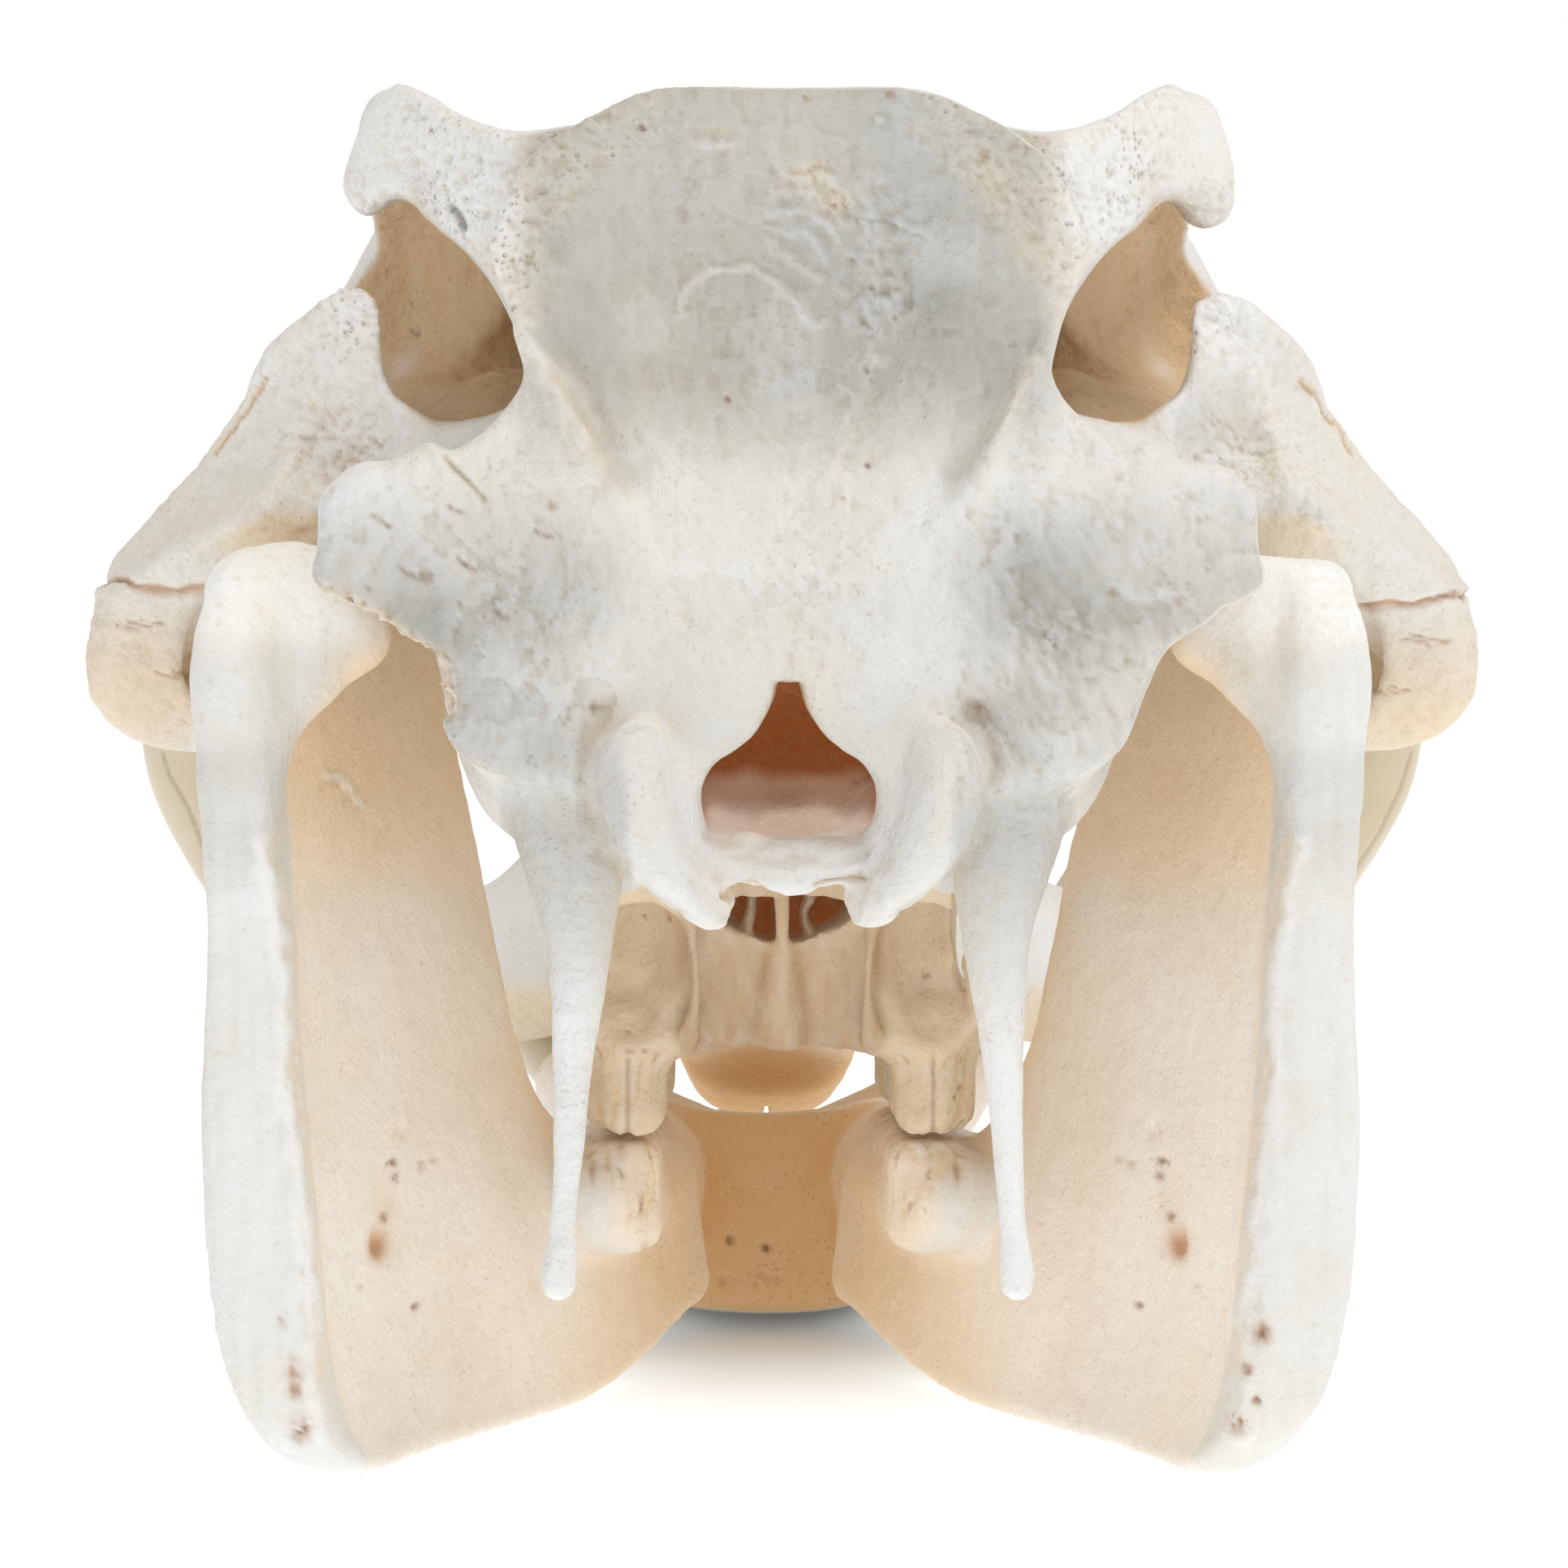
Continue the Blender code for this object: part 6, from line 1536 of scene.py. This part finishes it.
def bone_material(name, base, warm_tone, rough, unevenness):
    m = material_nodes(name)
    warm, amber, dark, yellow = m.masks("stain")
    pores, stripes, grey, glow = m.masks("skin")
    low, high, _, _ = m.masks("fold")
    cloud = m.noise(38.0, 4.0)
    grain = m.noise(1100.0, 3.0, 0.65)
    shaded = tuple(c * k for c, k in zip(base, CLOUD_SHADE))
    colour = m.mix(m.between(cloud, 0.35, 0.68), base, shaded)
    # The grey mask holds the bone's own grey and painted shade on the rear faces
    colour = m.mix(grey, colour, GREY_AND_PAINTED_SHADE)
    # The warm mask holds the bone's own warm stains and the painted shade between bones and in hollows
    uneven = m.maths("ADD", warm, m.times(m.maths("SUBTRACT", cloud, 0.5), 0.5), clamp=True)
    colour = m.mix(uneven, colour, warm_tone)
    colour = m.mix(yellow, colour, HONEY_YELLOW)
    # The amber mask holds real stains and the painted shade and bounce light deep in the foramen, the nose
    # and the chin
    colour = m.mix(amber, colour, DEEP_AMBER)
    speck = m.between(m.noise(420.0, 2.0, 0.6), 0.62, 0.76)
    colour = m.mix(m.times(speck, FLECK_TINT), colour, FLECK_BROWN)
    hole = m.times(m.between(m.cells(760.0), 0.34, 0.10), m.between(m.noise(95.0, 2.0), 0.42, 0.62))
    hole = m.times(hole, pores)
    colour = m.mix(m.times(hole, PORE_TINT), colour, PORE_BROWN)
    # Painted shade darkens the creases and a painted highlight lightens the crests
    colour = m.mix(m.times(low, CREASE_SHADE_TINT), colour, CREASE_SHADE_BROWN, "MULTIPLY")
    colour = m.mix(m.times(high, CREST_HIGHLIGHT_TINT), colour, CREST_HIGHLIGHT_WHITE)
    colour = m.mix(m.between(grain, 0.40, 0.66, 0.0, GRAIN_TINT), colour, GRAIN_BROWN)
    # The dark mask holds dark stains and cracks, and painted shade in holes
    colour = m.mix(dark, colour, STAIN_AND_HOLE_SHADE_BLACK)
    m.put(m.shader.inputs["Base Color"], colour)
    # Painted glow: the bone lights itself in its own colour where the mask says, standing in for light
    # through thin bone and bounced light
    m.put(m.shader.inputs["Emission Color"], m.mix(glow, (0.0, 0.0, 0.0), colour))
    m.put(m.shader.inputs["Roughness"], m.between(cloud, 0.3, 0.7, rough - 0.06, rough + 0.08))
    m.fill(m.shader, {"Emission Strength": PAINTED_GLOW_STRENGTH, "Specular IOR Level": 0.35})
    rubbed = m.bumped(grain, GRAIN_HEIGHT, 0.6)
    flaked = m.bumped(m.noise(240.0, 5.0, 0.62), unevenness, 0.8, rubbed)
    fibre = m.noise(160.0, 3.0, 0.6, stretch=(1.0, 0.2, 1.0))
    lined = m.bumped(m.times(fibre, stripes), FIBRE_HEIGHT, 0.7, flaked)
    holed = m.bumped(m.times(hole, -1.0), PORE_DEPTH, 0.9, lined)
    m.put(m.shader.inputs["Normal"], holed)
    return m.owner


def ivory_material(name):
    m = material_nodes(name)
    warm, _, dark, _ = m.masks("stain")
    rings = m.noise(120.0, 2.0, stretch=(0.15, 1.0, 0.15))
    colour = m.mix(m.between(m.noise(30.0, 3.0), 0.3, 0.7), IVORY_PALE, IVORY_DEEP)
    colour = m.mix(m.between(rings, 0.55, 0.75), colour, IVORY_RING)
    colour = m.mix(warm, colour, IVORY_WARM)
    colour = m.mix(dark, colour, IVORY_CRACK)
    m.put(m.shader.inputs["Base Color"], colour)
    m.fill(m.shader, {"Roughness": 0.34})
    m.put(m.shader.inputs["Normal"], m.bumped(rings, RING_HEIGHT, 0.4))
    return m.owner


# Pieces
def show(item, slot, *nodes):
    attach(item, "root")
    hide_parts(*nodes)


def add_splinters(skull):
    """Notches along the left wing's broken edge."""
    for k, (x, z) in enumerate(along(BROKEN_EDGE, SPLINTERS)):
        size = 1.1 + 0.7 * math.sin(2.1 * k) ** 2
        reach = 1.2 * math.sin(1.7 * k)
        skull.carve(ball((x + reach, 8, z - reach), (size, 9, size)), 0.4)


def add_scroll_bones(skull):
    """The thin upright plates seen through the nose's rear openings."""
    for points, radii in SCROLL_BONES:
        skull.add(tube(points, radii, (1, 4, 1), 3), 0.3)


def add_edges(skull):
    """The raised edge round each ear pit, and the lumpy edge on top of each wing."""
    for side in (-1, 1):
        cup = [(side * a, arch_face(side * a, c) - b, c) for a, b, c in EAR_RIM]
        skull.add(tube(cup, EAR_RIM_RADII), 2.2)
        edge = [(side * a, nuchal_back(side * a, b) + 2.6, b) for a, b in WING_TOP]
        skull.add(tube(edge, WING_TOP_RADII), 2.0)


def add_hollows(skull):
    """The slit in the front of the palate, and the vault inside the foramen."""
    skull.carve(ball((0, 352, 32), (0.5, 22, 12)), 0.3)
    skull.carve(ball((0, 21, 106), (14.5, 17, 12.5)), 3.0)
    skull.carve(tube([(-5, 29, 101.5), (5, 29, 101.5)], [5.0, 5.0]), 3.0)


def make_bones(skull_material, jaw_material):
    skull, jaw = cranium(CRANIUM_STEP), mandible(MANDIBLE_STEP)
    for detail in (add_splinters, add_edges, add_scroll_bones, add_hollows):
        detail(skull)
    above_floor = -jaw.axes[2][None, None, :]
    jaw.field = np.maximum(jaw.field, above_floor)
    crowd = Crowd([(skull, 0.0), (jaw, JAW_SHIFT_X)])
    piece = Piece(skull)
    item = written("cranium", piece, cranium_surface(piece, crowd), skull_material)
    show(item, "snout", "snout", "braincase", "occiput", "forehead", "zygomatic_arch_left",
         "zygomatic_arch_right", "paroccipital_process_left", "paroccipital_process_right")
    piece = Piece(jaw)
    item = written("mandible", piece, mandible_surface(piece, crowd), jaw_material, JAW_SHIFT_X)
    show(item, "mandible_chin", "mandible_chin", "mandible_ramus_left", "mandible_ramus_right")


def make_tusks(material):
    upper = (UPPER_TUSK_LINE, UPPER_TUSK_RADII, UPPER_TUSK_ROOT)
    lower = (LOWER_TUSK_LINE, LOWER_TUSK_RADII, LOWER_TUSK_ROOT)
    for label, form, reaches, shift in (("upper_tusk", upper, UPPER_TUSK_REACH, 0.0),
                                        ("lower_tusk", lower, {1: 1.0, -1: 1.0}, JAW_SHIFT_X)):
        for side, ending in ((1, "right"), (-1, "left")):
            piece = Piece(tusk(TUSK_STEP, *form, reaches[side]))
            if side < 0:
                piece.mirror()
            name = label + "_" + ending
            show(written(name + "_fine", piece, tusk_surface(piece), material, shift), name, name)


# Stage
def make_stage():
    corner = FLOOR_HALF
    mesh = bpy.data.meshes.new("floor")
    mesh.from_pydata([(-corner, -corner, 0), (corner, -corner, 0), (corner, corner, 0), (-corner, corner, 0)],
                     [], [(0, 1, 2, 3)])
    floor = bpy.data.objects.new("floor", mesh)
    bpy.context.scene.collection.objects.link(floor)
    m = material_nodes("floor")
    m.fill(m.shader, {"Base Color": FLOOR_BLUE, "Emission Color": WHITE, "Roughness": 0.9,
                      "Specular IOR Level": 0.1})
    far = m.add("ShaderNodeVectorMath", operation="LENGTH")
    m.put(far.inputs[0], m.mapped(Location=FLOOR_SHADE_OFFSET))
    # A painted shadow: the floor glows less under the chin
    glow = m.between(far.outputs["Value"], 0.0, FLOOR_SHADE_REACH, FLOOR_SHADE, FLOOR_GLOW)
    m.put(m.shader.inputs["Emission Strength"], glow)
    mesh.materials.append(m.owner)


def soft_light(name, place, target, size, power):
    """A round lamp that faces its target."""
    lamp = bpy.data.lights.new(name, "AREA")
    lamp.shape, lamp.size, lamp.energy = "DISK", size, power
    item = bpy.data.objects.new(name, lamp)
    bpy.context.scene.collection.objects.link(item)
    item.location = place
    aim = np.array(target, float) - np.array(place, float)
    aim /= np.linalg.norm(aim)
    item.rotation_euler = (math.acos(-aim[2]), 0.0, math.atan2(-aim[0], aim[1]))


def make_light():
    """A room that is brightest at its ends and looks plain white to the camera, and one soft lamp above."""
    world = bpy.data.worlds.new("studio")
    bpy.context.scene.world = world
    world.use_nodes = True
    world.node_tree.nodes.clear()
    m = Nodes(world, "Generated")
    parts = m.add("ShaderNodeSeparateXYZ")
    m.put(parts.inputs[0], m.place)
    across, ahead, up = parts.outputs
    sides = m.times(m.maths("ABSOLUTE", across), ROOM_SIDES)
    ends = m.times(m.maths("ABSOLUTE", ahead), ROOM_ENDS)
    above = m.maths("MULTIPLY", up, ROOM_TOP, clamp=True)
    total = m.maths("ADD", m.maths("ADD", sides, ends), m.maths("ADD", m.times(ahead, ROOM_TILT), above))
    choice = m.add("ShaderNodeMix", data_type="FLOAT")
    m.put(choice.inputs[0], m.add("ShaderNodeLightPath").outputs["Is Camera Ray"])
    m.put(choice.inputs[2], total)
    m.put(choice.inputs[3], 1.0)
    background = m.add("ShaderNodeBackground")
    m.put(background.inputs["Color"], WHITE)
    m.put(background.inputs["Strength"], choice.outputs[0])
    m.put(m.add("ShaderNodeOutputWorld").inputs[0], background.outputs[0])
    soft_light("overhead", LAMP_PLACE, LAMP_TARGET, LAMP_SIZE, LAMP_POWER)
    bpy.context.scene.view_settings.view_transform = "Standard"


def make_camera():
    lens = bpy.data.cameras.new("camera")
    lens.sensor_width, lens.lens, lens.clip_start = CAMERA_SENSOR, CAMERA_LENS, CAMERA_NEAREST
    camera = bpy.data.objects.new("camera", lens)
    bpy.context.scene.collection.objects.link(camera)
    camera.location = [float(v) for v in (np.array(CAMERA_PLACE) + MODEL_SHIFT) * MM]
    camera.rotation_euler = (math.pi / 2 - math.atan(CAMERA_DROP), 0.0, math.atan(CAMERA_SWING))
    bpy.context.scene.camera = camera


make_camera()
make_light()
make_stage()
make_bones(bone_material("cranium_bone", CRANIUM_BONE, CRANIUM_WARM, 0.58, 0.0012),
           bone_material("jaw_bone", JAW_BONE, JAW_WARM, 0.5, 0.0006))
make_tusks(ivory_material("ivory"))
